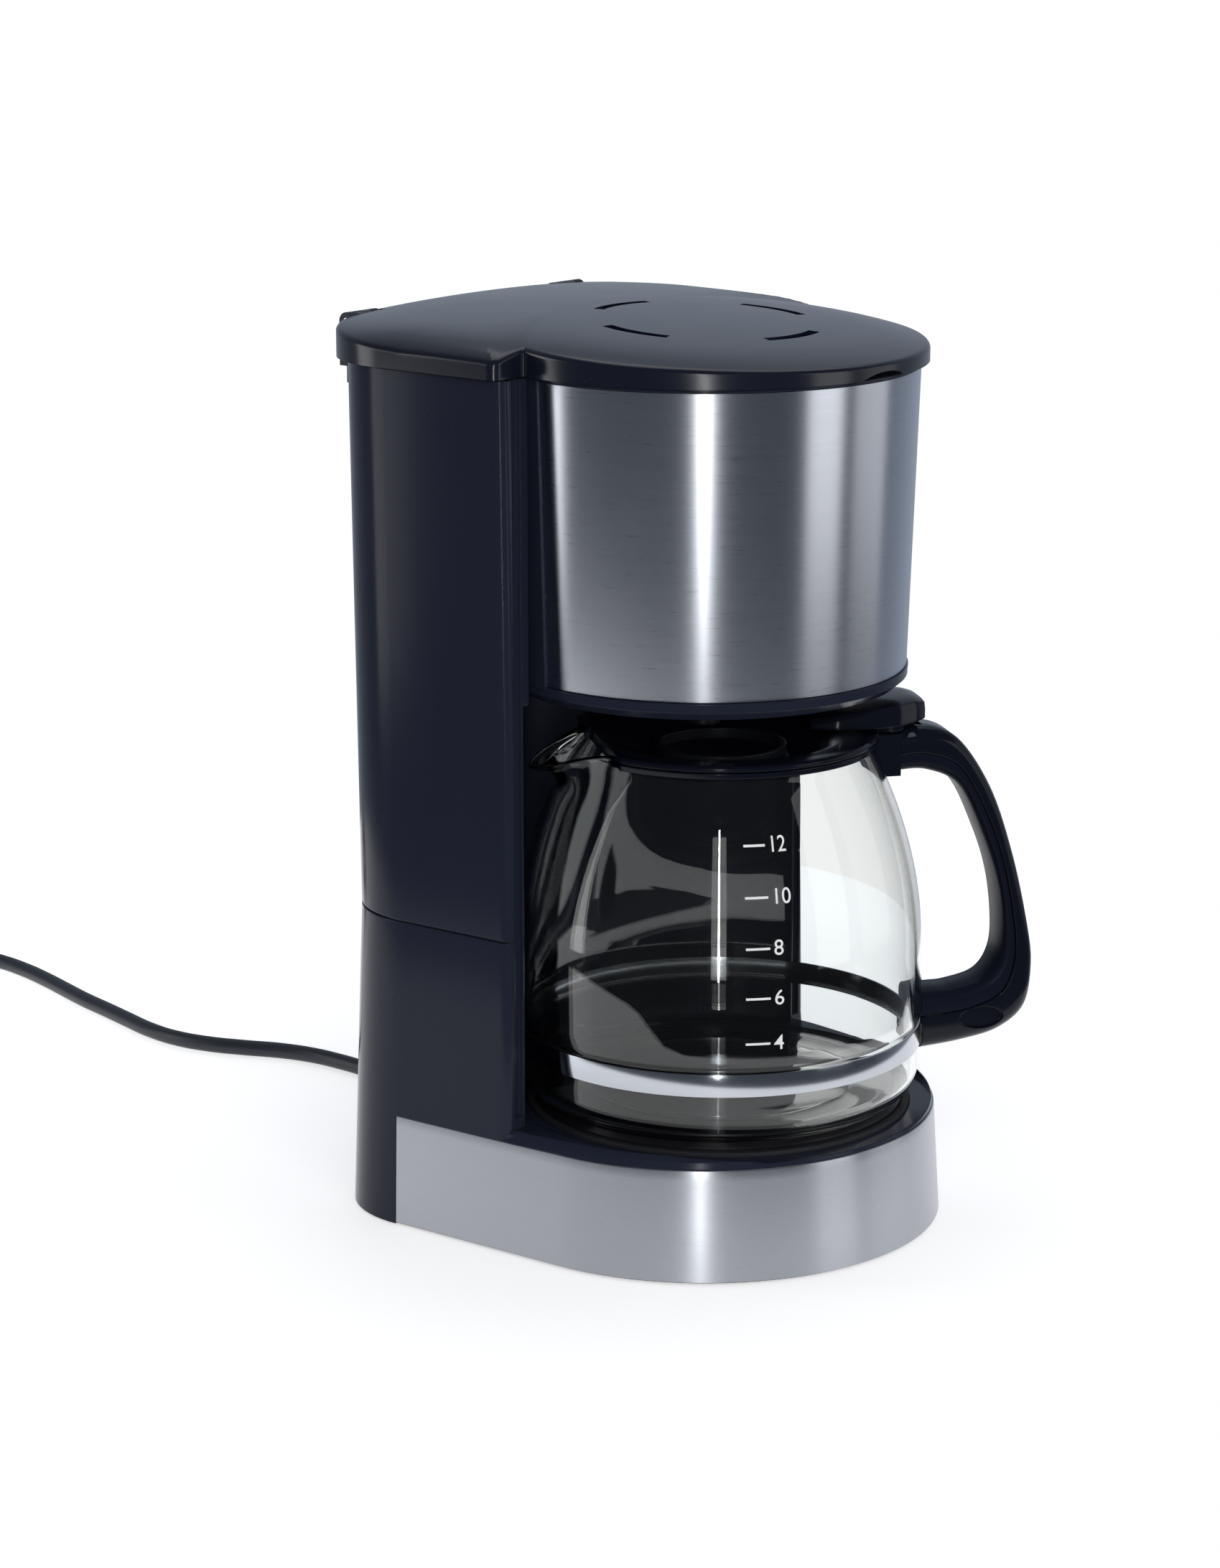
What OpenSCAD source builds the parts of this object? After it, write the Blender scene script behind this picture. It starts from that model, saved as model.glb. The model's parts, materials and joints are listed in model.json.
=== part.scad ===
// Drip coffee maker with a glass carafe.
// Origin on the table under the middle of the machine with its carafe and strain relief, +Z up, the
// front faces -Y, millimetres.
// Every module is drawn round the vertical axis of the brew drum; at_drum() puts it in place.

/* [Machine] */
// Height of the feet below the housing
foot_h = 1; // [0.6:0.1:2]
// Wall thickness of the plastic mouldings
wall = 2.6; // [2:0.1:3]

/* [Base] */
// How far the round front of the base stands out past the carafe's hollow, at the table
base_rim = 7; // [5:0.5:10]
// Height of the top edge of the steel band on the base
band_top = 42.5; // [38:0.5:46]
// How far the front of the base leans in up to the band's top edge
band_lean = 2.6; // [1:0.2:4]
// Thickness of the steel band
band_t = 1; // [0.6:0.1:1.4]
// Distance from the steel band's ends to the rear wall at the waist
band_short = 40; // [35:1:55]
// Height of the moulded rim above the band's top edge
rim_h = 4.3; // [3.6:0.1:5]

/* [Tower] */
// Width of the tower beside the carafe's hollow, at its waist
side_room = 8; // [7:0.5:10]
// Extra half width of the tower at the table
base_flare = 3; // [1:0.5:5]
// Extra half width of the tower at its top
top_flare = 1.5; // [0.5:0.5:3]
// Depth of the tower behind the radius of the carafe's hollow, at its waist
rear_room = 28; // [26:0.5:30]
// Radius of the rear corners
corner_r = 40; // [34:1:44]
// Distance from the drum axis back to the front edges of the side panels
tower_front = 18; // [16:0.5:20]
// How far the side panels lean in towards their front edges
side_bow = 2.8; // [1:0.2:4]
// Height of the joint between the lower housing and the tower
waist_z = 117; // [105:1:130]
// Clearance round the glass in the hollow that the carafe stands in
bay_play = 7.3; // [6:0.1:9]
// Distance of that hollow's axis in front of the drum axis
bay_fwd = 4; // [3:0.5:5]

/* [Brew drum] */
// Height of the brew drum, up to the top edge of the tower
drum_h = 116; // [110:1:122]
// How much smaller the steel sleeve's top edge is than the carafe's hollow
drum_set = 5; // [4.5:0.1:6]
// How much smaller the sleeve is at its bottom edge
drum_taper = 3.5; // [1:0.5:5]
// Thickness of the steel sleeve
sleeve_t = 0.8; // [0.5:0.1:1]
// Height of the black lip under the sleeve
lip_h = 6.6; // [5:0.2:9]
// Clearance from the glass's rim up to the drum's underside
drum_lift = 21; // [19:0.5:23]
// Thickness of the drum's wall and sleeve together
drum_wall = 6.5; // [5.5:0.1:7.5]
// Angle of the drum's circle that the sleeve leaves open at the back
sleeve_gap = 162; // [150:1:175]

/* [Lid] */
// Height of the lid's skirt above the tower's top edge, front corners
lid_rise = 16.3; // [14:0.5:20]
// How far the lid stands out over the tower
lid_over = 2.9; // [2:0.1:4]
// How far the lid's round front stands out over the sleeve
lid_front = 3; // [2:0.1:5]
// Thickness of the lid
lid_t = 2.4; // [1.8:0.1:3]
// Distance from the lid's front edge in to the circle of steam slots
slot_in = 39.5; // [36:0.5:44]
// Width of a steam slot
slot_w = 3.2; // [2:0.2:4]
// Distance of each hinge from the side of the tower
hinge_in = 33; // [30:1:45]
// Radius of the hinge pins
hinge_pin_r = 1.5; // [1.2:0.1:1.8]

/* [Carafe] */
// Largest radius of the glass
glass_r = 74.7; // [73:0.1:75.5]
// Thickness of the glass
glass_t = 2.4; // [2:0.1:3]
// How much smaller the glass neck is than the glass
neck_in = 20.2; // [18:0.2:23]
// Height of the glass, up to its rim
glass_h = 132.7; // [129:0.1:134]
// Distance of the carafe's axis in front of the drum axis
carafe_fwd = 8; // [7:0.5:9]
// Angle of the carafe's handle from straight ahead
handle_turn = 53; // [40:1:58]
// Distance from the glass to the outside of the carafe's handle
handle_reach = 47.8; // [44:0.2:51]
// Width of the carafe's handle
handle_w = 22; // [18:1:25]
// Height of the steel band on the glass
glass_band_h = 8.4; // [6:0.2:10]

/* [Heater] */
// How much smaller the warming plate is than the glass
plate_in = 6.7; // [5.7:0.1:14]
// Thickness of the warming plate
plate_t = 1.6; // [1.2:0.1:2]
// Distance from the warming plate's edge in to the heater's ring
heater_in = 23; // [18:1:30]

/* [Filter] */
// Clearance round the filter basket's mouth in the drum
basket_play = 4.5; // [4:0.1:8]
// How much smaller the filter basket's floor is than its mouth
basket_taper = 26; // [20:1:36]
// Depth of the basket's ledge below the top edge of the tower
basket_drop = 24; // [22:0.5:26]
// Clearance under the filter basket's floor in the drum
floor_lift = 8; // [6:0.5:12]

/* [Cord] */
// Diameter of the mains cord
cord_d = 6.5; // [6:0.1:7]

/* [Hidden] */

$fn = 96;
skin = 0.01;
seat = 0.15;
gap = 0.3;
black = [0.11, 0.12, 0.15];
satin = [0.16, 0.17, 0.2];
steel = [0.72, 0.73, 0.76];
grey = [0.45, 0.46, 0.48];

// Levels and places that follow from the sizes above
bay_r = glass_r + bay_play;
base_r = bay_r + base_rim;
tower_half = bay_r + side_room;
tower_rear = bay_r + rear_room;
band_end = tower_rear - band_short;
drum_r = bay_r - drum_set;
drum_bore = drum_r - drum_wall;
lid_r = drum_r + lid_front;
slot_ring = lid_r - slot_in;
hinge_x = tower_half - hinge_in;
neck_r = glass_r - neck_in;
handle_out = glass_r + handle_reach;
plate_r = glass_r - plate_in;
heater_ring = plate_r - heater_in;
basket_r = drum_bore - basket_play;
basket_floor_r = basket_r - basket_taper;
lid_half = tower_half + top_flare + lid_over;
handle_side = (handle_out - handle_w / 2) * sin(handle_turn) + handle_w / 2;
machine_x = (lid_half - max(lid_half, handle_side)) / 2;
deck_z = band_top + rim_h;
trough_z = deck_z - 2.8;
deck_under = trough_z - wall;
plate_top = deck_z + 1.2;
plate_under = plate_top - plate_t;
glass_z = plate_top + gap;
neck_z = glass_z + glass_h;
drum_z = neck_z + drum_lift;
sleeve_z = drum_z + lip_h;
tower_top = drum_z + drum_h;
half_at_band = tower_half + base_flare * (waist_z - band_top) / waist_z;
rear_at_band = tower_rear + base_flare * (waist_z - band_top) / waist_z;
inner_half = tower_half - wall;
inner_rear = tower_rear - wall;
inner_corner = corner_r - wall;
seam_h = 0.8;
tank_floor = waist_z + wall;
lid_under = tower_top + 0.6;
lid_top = tower_top + lid_rise;
hinge_y = tower_rear + 4.5;
hinge_z = tower_top + 10;
barrel_r = hinge_pin_r + 2;
barrel_w = 8;
relief_l = 30;
rear_wall = tower_rear + base_flare;
drum_y = (base_r - rear_wall - 1 - relief_l) / 2;
ear_w = 3.6;

module at_drum() translate([machine_x, drum_y, 0]) children();
module mirrored() for (m = [0, 1]) mirror([m, 0, 0]) children();

// ---- Outlines seen from above ----

// The four rounded corners of the tower
module tower_corners(half, rear, bow, corner, front = tower_front)
    for (s = [-1, 1]) {
        translate([s * (half - bow - 4), front + 4]) circle(4, $fn = 24);
        translate([s * (half - corner), rear - corner]) circle(corner, $fn = 64);
    }

// The round front and the two rear corners of the base
module base_corners(front_r, half, rear, corner) {
    circle(front_r);
    for (s = [-1, 1]) translate([s * (half - corner), rear - corner]) circle(corner, $fn = 64);
}

// A straight-sided room inside the tower, behind its front edges
module tower_room(inset) {
    half = inner_half - inset;
    rear = inner_rear - inset;
    corner = inner_corner - inset;
    front = tower_front + wall + inset;
    translate([-half + side_bow, front]) square([2 * (half - side_bow), rear - corner - front]);
    translate([-half + corner, front]) square([2 * (half - corner), rear - front]);
    for (s = [-1, 1]) translate([s * (half - corner), rear - corner]) circle(corner);
}

// A layer of no height, to stretch a hull between
module layer(z) translate([0, 0, z]) linear_extrude(skin) children();

module base_block(inset = 0)
    hull() {
        layer(foot_h) base_corners(base_r - inset, tower_half + base_flare - inset,
            tower_rear + base_flare - inset, corner_r);
        layer(band_top - skin) base_corners(base_r - band_lean - inset, half_at_band - inset,
            rear_at_band - inset, corner_r);
    }

module lower_tower(top, inset = 0)
    hull() {
        layer(band_top) tower_corners(half_at_band - inset, rear_at_band - inset, side_bow, corner_r);
        layer(top - skin) tower_corners(tower_half - inset, tower_rear - inset, side_bow, corner_r);
    }

// The hollow that the carafe stands in, and its wall when grown
module bay(z0, z1, grow = 0)
    translate([0, -bay_fwd, z0]) cylinder(r = bay_r + grow, h = z1 - z0);

module at_plate() translate([0, -carafe_fwd, 0]) children();

// Places of the screws and feet under the base
boss_ring = base_r - 11.8;
boss_turn = 53.43;
boss_places = [for (s = [-1, 1]) [s * boss_ring * sin(boss_turn), -boss_ring * cos(boss_turn)],
    for (s = [-1, 1]) [s * (tower_half - 11), tower_front + 38]];
boss_r = 6;
boss_top = 20;
foot_ring = base_r - 12.2;
foot_turn = 38.66;
foot_places = [for (s = [-1, 1]) [s * foot_ring * sin(foot_turn), -foot_ring * cos(foot_turn)],
    for (s = [-1, 1]) [s * (tower_half - 34), tower_rear - 24]];

// Places on the right-hand side of the machine
switch_y = tower_front + 44;
switch_z = waist_z - 39;
switch_l = 26;
switch_h = 15;
window_y = tower_front + 46;
window_w = 11;
window_z0 = tank_floor + 14;
window_z1 = tower_top - 20;
side_depth = 20;

// Where the cord leaves the rear wall
exit_x = 30;
exit_z = 15;
exit_bore = cord_d / 2 + 2;

// An upright slot with round ends through the right-hand side wall
module slot_box(y, w, z0, z1)
    hull() for (z = [z0 + w / 2, z1 - w / 2])
        translate([tower_half - side_depth, y, z]) rotate([0, 90, 0])
            cylinder(d = w, h = 2 * side_depth, $fn = 32);

// ---- Housings ----

module lower_housing() color(black) at_drum()
    difference() {
        union() {
            difference() {
                union() {
                    lower_tower(waist_z - seam_h);
                    base_block();
                }
                translate([-tower_rear, -tower_rear, 0])
                    cube([2 * tower_rear, tower_rear + band_end, band_top]);
            }
            lower_tower(waist_z, band_t + seat);
            base_block(band_t + seat);
            deck_rim();
        }
        bay(deck_z, waist_z + 1);
        lower_room();
        at_plate() {
            translate([0, 0, trough_z]) cylinder(r = plate_r + 11, h = 10);
            translate([0, 0, boss_top + 1]) cylinder(r = plate_r + 3, h = deck_z);
        }
        panel_grooves(deck_z + 4, waist_z + 1);
        for (p = boss_places) translate([p[0], p[1], 0]) cylinder(r = 1.7, h = foot_h + 17);
        translate([tower_half - side_depth, switch_y - switch_l / 2, switch_z - switch_h / 2])
            cube([2 * side_depth, switch_l, switch_h]);
        translate([exit_x, inner_rear - 20, exit_z]) rotate([-90, 0, 0]) cylinder(r = exit_bore, h = 60);
    }

// The rounded moulding that rises from the band's top edge to the deck
module deck_rim()
    hull() {
        layer(band_top) base_corners(base_r - band_lean - 0.4, half_at_band - 3, band_end - 10, corner_r);
        layer(band_top + rim_h * 0.6)
            base_corners(base_r - band_lean - 1.2, half_at_band - 4, band_end - 11, corner_r);
        layer(deck_z - skin)
            base_corners(base_r - band_lean - 3.4, half_at_band - 6, band_end - 13, corner_r);
    }

// The room inside the lower housing, around its screw bosses
module lower_room() {
    difference() {
        union() {
            linear_extrude(deck_under) intersection() {
                circle(base_r - band_lean - band_t - 4);
                translate([-base_r, -base_r]) square([2 * base_r, base_r + tower_front + 10]);
            }
            linear_extrude(waist_z + 1) difference() {
                tower_room(0);
                translate([0, -bay_fwd]) circle(bay_r + wall);
            }
            linear_extrude(deck_under) tower_room(0);
        }
        for (p = boss_places) translate([p[0], p[1], foot_h + wall])
            cylinder(r = boss_r, h = boss_top - foot_h - wall);
    }
}

// Shallow upright grooves in the front edges of the side panels
module panel_grooves(z0, z1)
    mirrored() translate([tower_half - 10, tower_front - 1, z0]) cube([4, 2.6, z1 - z0]);

module tower_housing() color(black) at_drum() {
    difference() {
        hull() {
            layer(waist_z) tower_corners(tower_half, tower_rear, side_bow, corner_r);
            layer(tower_top - skin) tower_corners(tower_half + top_flare, tower_rear + top_flare,
                side_bow / 2, corner_r);
        }
        bay(waist_z - 1, drum_z);
        translate([0, 0, drum_z - skin]) cylinder(r = drum_r + 1, h = 2 * drum_h);
        panel_grooves(waist_z - 1, tower_top + 1);
        translate([0, 0, tank_floor]) linear_extrude(tower_top) difference() {
            tower_room(0);
            translate([0, -bay_fwd]) circle(bay_r + wall);
        }
        translate([outlet_x, outlet_y, waist_z - 1]) cylinder(r = 7, h = 10);
        translate([0, riser_y, waist_z - 1]) cylinder(r = riser_r + 2.5, h = 10);
        translate([-arm_w / 2 - 1, 0, arm_z - 1]) cube([arm_w + 2, riser_y, 40]);
        slot_box(window_y, window_w + 2 * seat, window_z0 - seat, window_z1 + seat);
    }
    mirrored() hinge_ears();
}

// Two upright ears behind the rear wall that hold one hinge pin
module hinge_ears()
    difference() {
        for (s = [-1, 1]) translate([hinge_x + s * (barrel_w / 2 + gap + ear_w / 2) - ear_w / 2, 0, 0]) {
            translate([0, hinge_y, hinge_z]) rotate([0, 90, 0])
                cylinder(r = barrel_r, h = ear_w, $fn = 48);
            translate([0, hinge_y - barrel_r + 0.6, hinge_z - 16])
                cube([ear_w, 2 * barrel_r - 0.6, 16]);
            translate([0, tower_rear - wall, hinge_z - 22]) cube([ear_w, hinge_y - tower_rear + wall, 11]);
        }
        translate([hinge_x - 20, hinge_y, hinge_z]) rotate([0, 90, 0])
            cylinder(r = hinge_pin_r + 0.05, h = 40, $fn = 32);
    }

module base_band() color(steel) at_drum()
    difference() {
        base_block();
        base_block(band_t);
        translate([-tower_rear, band_end - gap, -1]) cube([2 * tower_rear, tower_rear, deck_z]);
        translate([-tower_rear, -tower_rear, -1])
            cube([2 * tower_rear, 3 * tower_rear, foot_h + 1.6]);
    }

module bottom_cover() color(black) at_drum()
    difference() {
        translate([0, 0, foot_h]) linear_extrude(wall) union() {
            intersection() {
                circle(base_r - band_lean - band_t - 4 - gap);
                translate([-base_r, -base_r]) square([2 * base_r, base_r + tower_front + 10]);
            }
            tower_room(gap);
        }
        for (p = boss_places) translate([p[0], p[1], -1]) {
            cylinder(r = 1.8, h = 20);
            cylinder(r = 3.6, h = foot_h + 2.4);
        }
        for (p = foot_places) translate([p[0], p[1], -1]) cylinder(r = 3.1, h = 20);
        for (i = [-4:4]) translate([i * 8 - 2, tower_front + 12, -1])
            cube([4, tower_rear - tower_front - 58, 20]);
    }

module feet() color([0.2, 0.2, 0.2]) at_drum()
    for (p = foot_places) translate([p[0], p[1], 0]) {
        cylinder(r1 = 8, r2 = 9, h = foot_h);
        cylinder(r = 3, h = foot_h + wall + 1);
        translate([0, 0, foot_h + wall]) cylinder(r1 = 4, r2 = 3, h = 1.5);
    }

module base_screws() color(grey) at_drum()
    for (p = boss_places) translate([p[0], p[1], foot_h]) {
        difference() {
            cylinder(r = 3.4, h = 1.3);
            for (a = [0, 90]) rotate(a) translate([-2.2, -0.5, -1]) cube([4.4, 1, 1.7]);
        }
        cylinder(r = 1.6, h = 14);
    }

// ---- Brew drum ----

// Outer radius of the drum moulding, under the sleeve, at a height
function drum_at(z) =
    drum_r - sleeve_t - seat - drum_taper * (tower_top - 1 - z) / (tower_top - 1 - sleeve_z);

module drum_housing() color(black) at_drum()
    difference() {
        union() {
            rotate_extrude() difference() {
                polygon([
                    [13, drum_z + 1], [drum_bore - 6, drum_z + 1], [drum_bore - 2, drum_z],
                    [drum_r - drum_taper - 3, drum_z], [drum_r - drum_taper + 0.4, drum_z + 3],
                    [drum_r - drum_taper + 0.6, sleeve_z - seat], [drum_at(sleeve_z), sleeve_z - seat],
                    [drum_at(tower_top - 1), tower_top - 1 + seat], [drum_r + 0.4, tower_top - 1 + seat],
                    [drum_r + 0.4, tower_top + 0.3], [drum_bore, tower_top + 0.3],
                    [drum_bore, basket_rest], [drum_bore - 4, basket_rest],
                    [drum_bore - 4, basket_rest - 2], [drum_bore, basket_rest - 6],
                    [drum_bore, drum_z + 1 + wall], [13, drum_z + 1 + wall]]);
            }
            // upright strips that cover the ends of the sleeve
            for (s = [0, 1]) mirror([s, 0, 0]) rotate([0, 0, 90 - sleeve_gap / 2 + 1])
                rotate_extrude(angle = 12) polygon([
                    [drum_bore + 2, sleeve_z - 1], [drum_r - drum_taper + 0.8, sleeve_z - 1],
                    [drum_r + 0.6, tower_top], [drum_bore + 2, tower_top]]);
        }
        translate([-arm_w / 2 - 1, 0, arm_z - 1]) cube([arm_w + 2, riser_y, 40]);
    }

module drum_sleeve() color(steel) at_drum()
    rotate([0, 0, 90 + sleeve_gap / 2]) rotate_extrude(angle = 360 - sleeve_gap)
        polygon([
            [drum_r - drum_taper - sleeve_t, sleeve_z], [drum_r - drum_taper, sleeve_z],
            [drum_r, tower_top - 1], [drum_r - sleeve_t, tower_top - 1]]);

// The basket hangs by its flange on a ledge inside the drum
basket_rest = tower_top - basket_drop;
basket_floor = drum_z + floor_lift;
basket_h = basket_rest - basket_floor;
nozzle_r = 11;
valve_travel = 3;
foot_z = neck_z + 4.2;
nozzle_z = foot_z + 5;
spring_z0 = foot_z + 1.8;
spring_z1 = basket_floor - 10;

module filter_basket() color(black) at_drum() {
    difference() {
        rotate_extrude() polygon([
            [8, nozzle_z], [nozzle_r, nozzle_z], [nozzle_r, basket_floor - 2],
            [basket_floor_r, basket_floor - 2], [basket_r - 2, basket_rest],
            [drum_bore - 0.5, basket_rest], [drum_bore - 0.5, basket_rest + 2],
            [basket_r - 4, basket_rest + 2], [basket_floor_r - 2, basket_floor], [8, basket_floor]]);
        for (a = [60, 180, 300]) rotate(a) translate([basket_r - 8, -7, basket_rest - 14])
            cube([14, 14, 9]);
    }
    // spider that guides the valve stem
    translate([0, 0, spring_z1]) difference() {
        union() {
            cylinder(r = 5.4, h = 1.6, $fn = 32);
            for (a = [0, 120, 240]) rotate(a) translate([0, -1, 0]) cube([8.6, 2, 1.6]);
        }
        translate([0, 0, -1]) cylinder(r = 2.6, h = 4, $fn = 32);
    }
}

module mesh_filter() color([0.8, 0.72, 0.45]) at_drum()
    difference() {
        rotate_extrude() polygon([
            [11, basket_floor + gap], [basket_floor_r - 2.4, basket_floor + gap],
            [basket_r - 4.4, basket_rest + 2], [basket_r - 3, basket_rest + 2],
            [basket_r - 3, basket_rest + 4], [basket_r - 6, basket_rest + 4],
            [basket_floor_r - 3.8, basket_floor + 1.7], [11, basket_floor + 1.7]]);
        for (i = [0:5]) rotate(i * 60 + 30) translate([0, 0, basket_floor + 8])
            rotate([90, 0, 90]) linear_extrude(100)
                polygon([[-12, 0], [12, 0], [22, basket_h - 16], [-22, basket_h - 16]]);
    }

module drip_valve() color(satin) at_drum() {
    translate([0, 0, foot_z]) cylinder(r = 6, h = spring_z0 - foot_z);
    translate([0, 0, foot_z]) cylinder(r = 2.5, h = basket_floor + valve_travel + 2 - foot_z, $fn = 32);
    translate([0, 0, basket_floor + valve_travel + gap]) cylinder(r = 9.6, h = 2);
}

// A coil spring round the valve stem
module valve_spring() color(grey) at_drum() {
    turns = 5;
    steps = 14;
    wire = 0.45;
    rise = spring_z1 - spring_z0 - 2 * wire;
    route = [for (i = [0:turns * steps]) let (a = i * 360 / steps)
        [3.9 * cos(a), 3.9 * sin(a), spring_z0 + wire + rise * i / (turns * steps)]];
    tube(route, wire, 5);
}

// ---- Water way ----

outlet_x = -(tower_half - 38);
outlet_y = tower_rear - 26;
riser_y = tower_rear - 15;
riser_r = 5;
riser_z = waist_z - 57;
arm_w = 12;
arm_h = 9;
arm_z = tower_top - 17;
head_r = 27;
tank_top = tower_top - 6;
tank_wall = 1.6;

module tank_outline(inset)
    difference() {
        tower_room(1 + inset);
        translate([0, -bay_fwd]) circle(bay_r + wall + 1.2 + inset);
    }

module water_tank() color([0.82, 0.84, 0.86]) at_drum()
    difference() {
        union() {
            difference() {
                translate([0, 0, tank_floor]) linear_extrude(tank_top - tank_floor) tank_outline(0);
                translate([0, 0, tank_floor + tank_wall]) linear_extrude(tower_top) tank_outline(tank_wall);
            }
            translate([0, riser_y, tank_floor]) cylinder(r = riser_r + 3.4, h = arm_z - 1 - tank_floor);
            translate([outlet_x, outlet_y, waist_z - 10]) cylinder(r = 6, h = 14);
        }
        translate([0, riser_y, waist_z - 20]) cylinder(r = riser_r + 1.4, h = tower_top);
        translate([outlet_x, outlet_y, waist_z - 20]) cylinder(r = 4, h = 40);
        translate([-arm_w / 2 - 1, riser_y - 35, arm_z - 1]) cube([arm_w + 2, 35, 40]);
    }

module level_window() color([0.75, 0.8, 0.85, 0.5]) at_drum()
    intersection() {
        slot_box(window_y, window_w, window_z0, window_z1);
        translate([inner_half - 0.7, window_y - 20, 0])
            cube([tower_half + 1.4 - inner_half + 0.7, 40, tower_top]);
    }

module riser_tube() color([0.85, 0.85, 0.83]) at_drum()
    translate([0, riser_y, riser_z]) difference() {
        cylinder(r = riser_r, h = arm_z + 6 - riser_z);
        translate([0, 0, -1]) cylinder(r = 3.2, h = tower_top);
    }

// Channel from the riser to the shower head over the basket
module spray_arm() color(satin) at_drum()
    difference() {
        union() {
            translate([-arm_w / 2, 0, arm_z]) cube([arm_w, riser_y, arm_h]);
            translate([0, riser_y, arm_z]) cylinder(r = riser_r + 3, h = arm_h);
            translate([0, 0, arm_z - 3]) cylinder(r = head_r, h = 4);
            translate([0, 0, arm_z]) cylinder(r = arm_w, h = arm_h);
        }
        translate([0, riser_y, arm_z - 1]) cylinder(r = riser_r + 0.1, h = 7);
        translate([0, riser_y, arm_z + 4.5]) rotate([90, 0, 0]) cylinder(r = 2.8, h = riser_y);
        for (r = [9, 17, 23], i = [0:r / 2]) rotate(i * 360 / floor(r / 2 + 1)) translate([r, 0, arm_z - 4])
            cylinder(r = 1.2, h = 12, $fn = 16);
        translate([0, 0, arm_z - 1.5]) cylinder(r = head_r - 2.4, h = 1.2);
    }

// Points on a smooth curve with four handles
function bend(a, b, c, d, n) = [for (i = [0:n]) let (t = i / n, u = 1 - t)
    u * u * u * a + 3 * u * u * t * b + 3 * u * t * t * c + t * t * t * d];

// The heater's water channel ends in two spigots that point down
spigot_z = plate_under - 24;
spigot = [heater_ring * cos(57), -carafe_fwd + heater_ring * sin(57), spigot_z - gap];
valve_top = waist_z - 10;
valve_l = 24;
hose_r = 5;

module check_valve() color([0.85, 0.8, 0.75]) at_drum()
    translate([outlet_x, outlet_y, valve_top - valve_l]) difference() {
        union() {
            cylinder(r = hose_r - 0.6, h = valve_l - gap / 2);
            translate([0, 0, valve_l / 4]) cylinder(r = hose_r + 1.5, h = valve_l / 2);
        }
        translate([0, 0, -1]) cylinder(r = 2.4, h = valve_l + 6);
    }

// A hose from a fitting above to one of the heater's spigots, with straight ends
module hose(top, end) {
    drop = [0, 0, 3];
    tube(concat([top], bend(top - drop, top - [0, 0, top[2] * 0.75], end - [0, 0, 20], end - drop, 14),
        [end]), hose_r, 10);
}

module inlet_hose() color([0.8, 0.78, 0.74]) at_drum()
    hose([outlet_x, outlet_y, valve_top - valve_l - gap], [-spigot[0], spigot[1], spigot[2]]);

module outlet_hose() color([0.8, 0.78, 0.74]) at_drum()
    hose([0, riser_y, riser_z - gap], spigot);

// ---- Heater and electrics ----

heater_h = 13;
heater_w = 12;
clamp_t = 2;
clamp_w = 12;
clamp_out = heater_ring + heater_w / 2 + 4 + clamp_t;

module heater_tube() color([0.75, 0.75, 0.76]) at_drum() at_plate() translate([0, 0, plate_under]) {
    rotate([0, 0, 120]) rotate_extrude(angle = 300)
        translate([heater_ring - heater_w / 2, -heater_h]) square([heater_w, heater_h]);
    for (s = [0, 1]) mirror([s, 0, 0]) {
        translate([spigot[0], spigot[1] + carafe_fwd, spigot_z - plate_under])
            cylinder(r = 4.2, h = heater_h);
        rotate([0, 0, 60]) translate([heater_ring + 3, -1, -4]) rotate([-90, 0, 0])
            cylinder(r = 1.4, h = 9, $fn = 24);
    }
}

module heater_clamp() color(grey) at_drum() at_plate() {
    difference() {
        translate([-clamp_out, -clamp_w / 2, plate_under - heater_h - clamp_t])
            cube([2 * clamp_out, clamp_w, clamp_t]);
        cylinder(r = 2.1, h = plate_under);
    }
    mirrored() translate([clamp_out - clamp_t, -clamp_w / 2, plate_under - heater_h])
        cube([clamp_t, clamp_w, heater_h]);
}

module clamp_screw() color(grey) at_drum() at_plate() {
    translate([0, 0, plate_under - heater_h - clamp_t - 2.4]) cylinder(r = 3.6, h = 2.4, $fn = 6);
    translate([0, 0, plate_under - heater_h - clamp_t - 2]) cylinder(r = 2, h = heater_h + clamp_t + 2);
}

module thermostat() color([0.75, 0.72, 0.66]) at_drum() at_plate()
    rotate([0, 0, -60]) translate([heater_ring, 0, plate_under - heater_h - 9]) {
        cylinder(r = 8, h = 9);
        for (s = [-1, 1]) translate([-3, s * 5 - 0.4, -6]) cube([6, 0.8, 7]);
    }

module thermal_fuse() color([0.8, 0.8, 0.78]) at_drum() at_plate()
    rotate([0, 0, -120]) translate([heater_ring, -12, plate_under - heater_h - 2.6]) rotate([-90, 0, 0]) {
        cylinder(r = 2.6, h = 24, $fn = 32);
        translate([0, 0, -8]) cylinder(r = 0.8, h = 40, $fn = 16);
    }

module hot_plate() color([0.13, 0.13, 0.14]) at_drum() at_plate()
    rotate_extrude() polygon([
        [0, plate_under], [plate_r - 3, plate_under], [plate_r - 1, plate_under - 2.4],
        [plate_r, plate_under - 2.4], [plate_r, plate_top - 1.6], [plate_r - 1.6, plate_top],
        [0, plate_top]]);

module plate_seal() color([0.25, 0.1, 0.08]) at_drum() at_plate()
    rotate_extrude() polygon([
        [plate_r + gap / 2, deck_under - 1.5], [plate_r + 5, deck_under - 1.5],
        [plate_r + 5, deck_under - gap / 2], [plate_r + 2.8, deck_under - gap / 2],
        [plate_r + 2.8, trough_z + 1.4], [plate_r + gap / 2, trough_z + 1.4]]);

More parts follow.
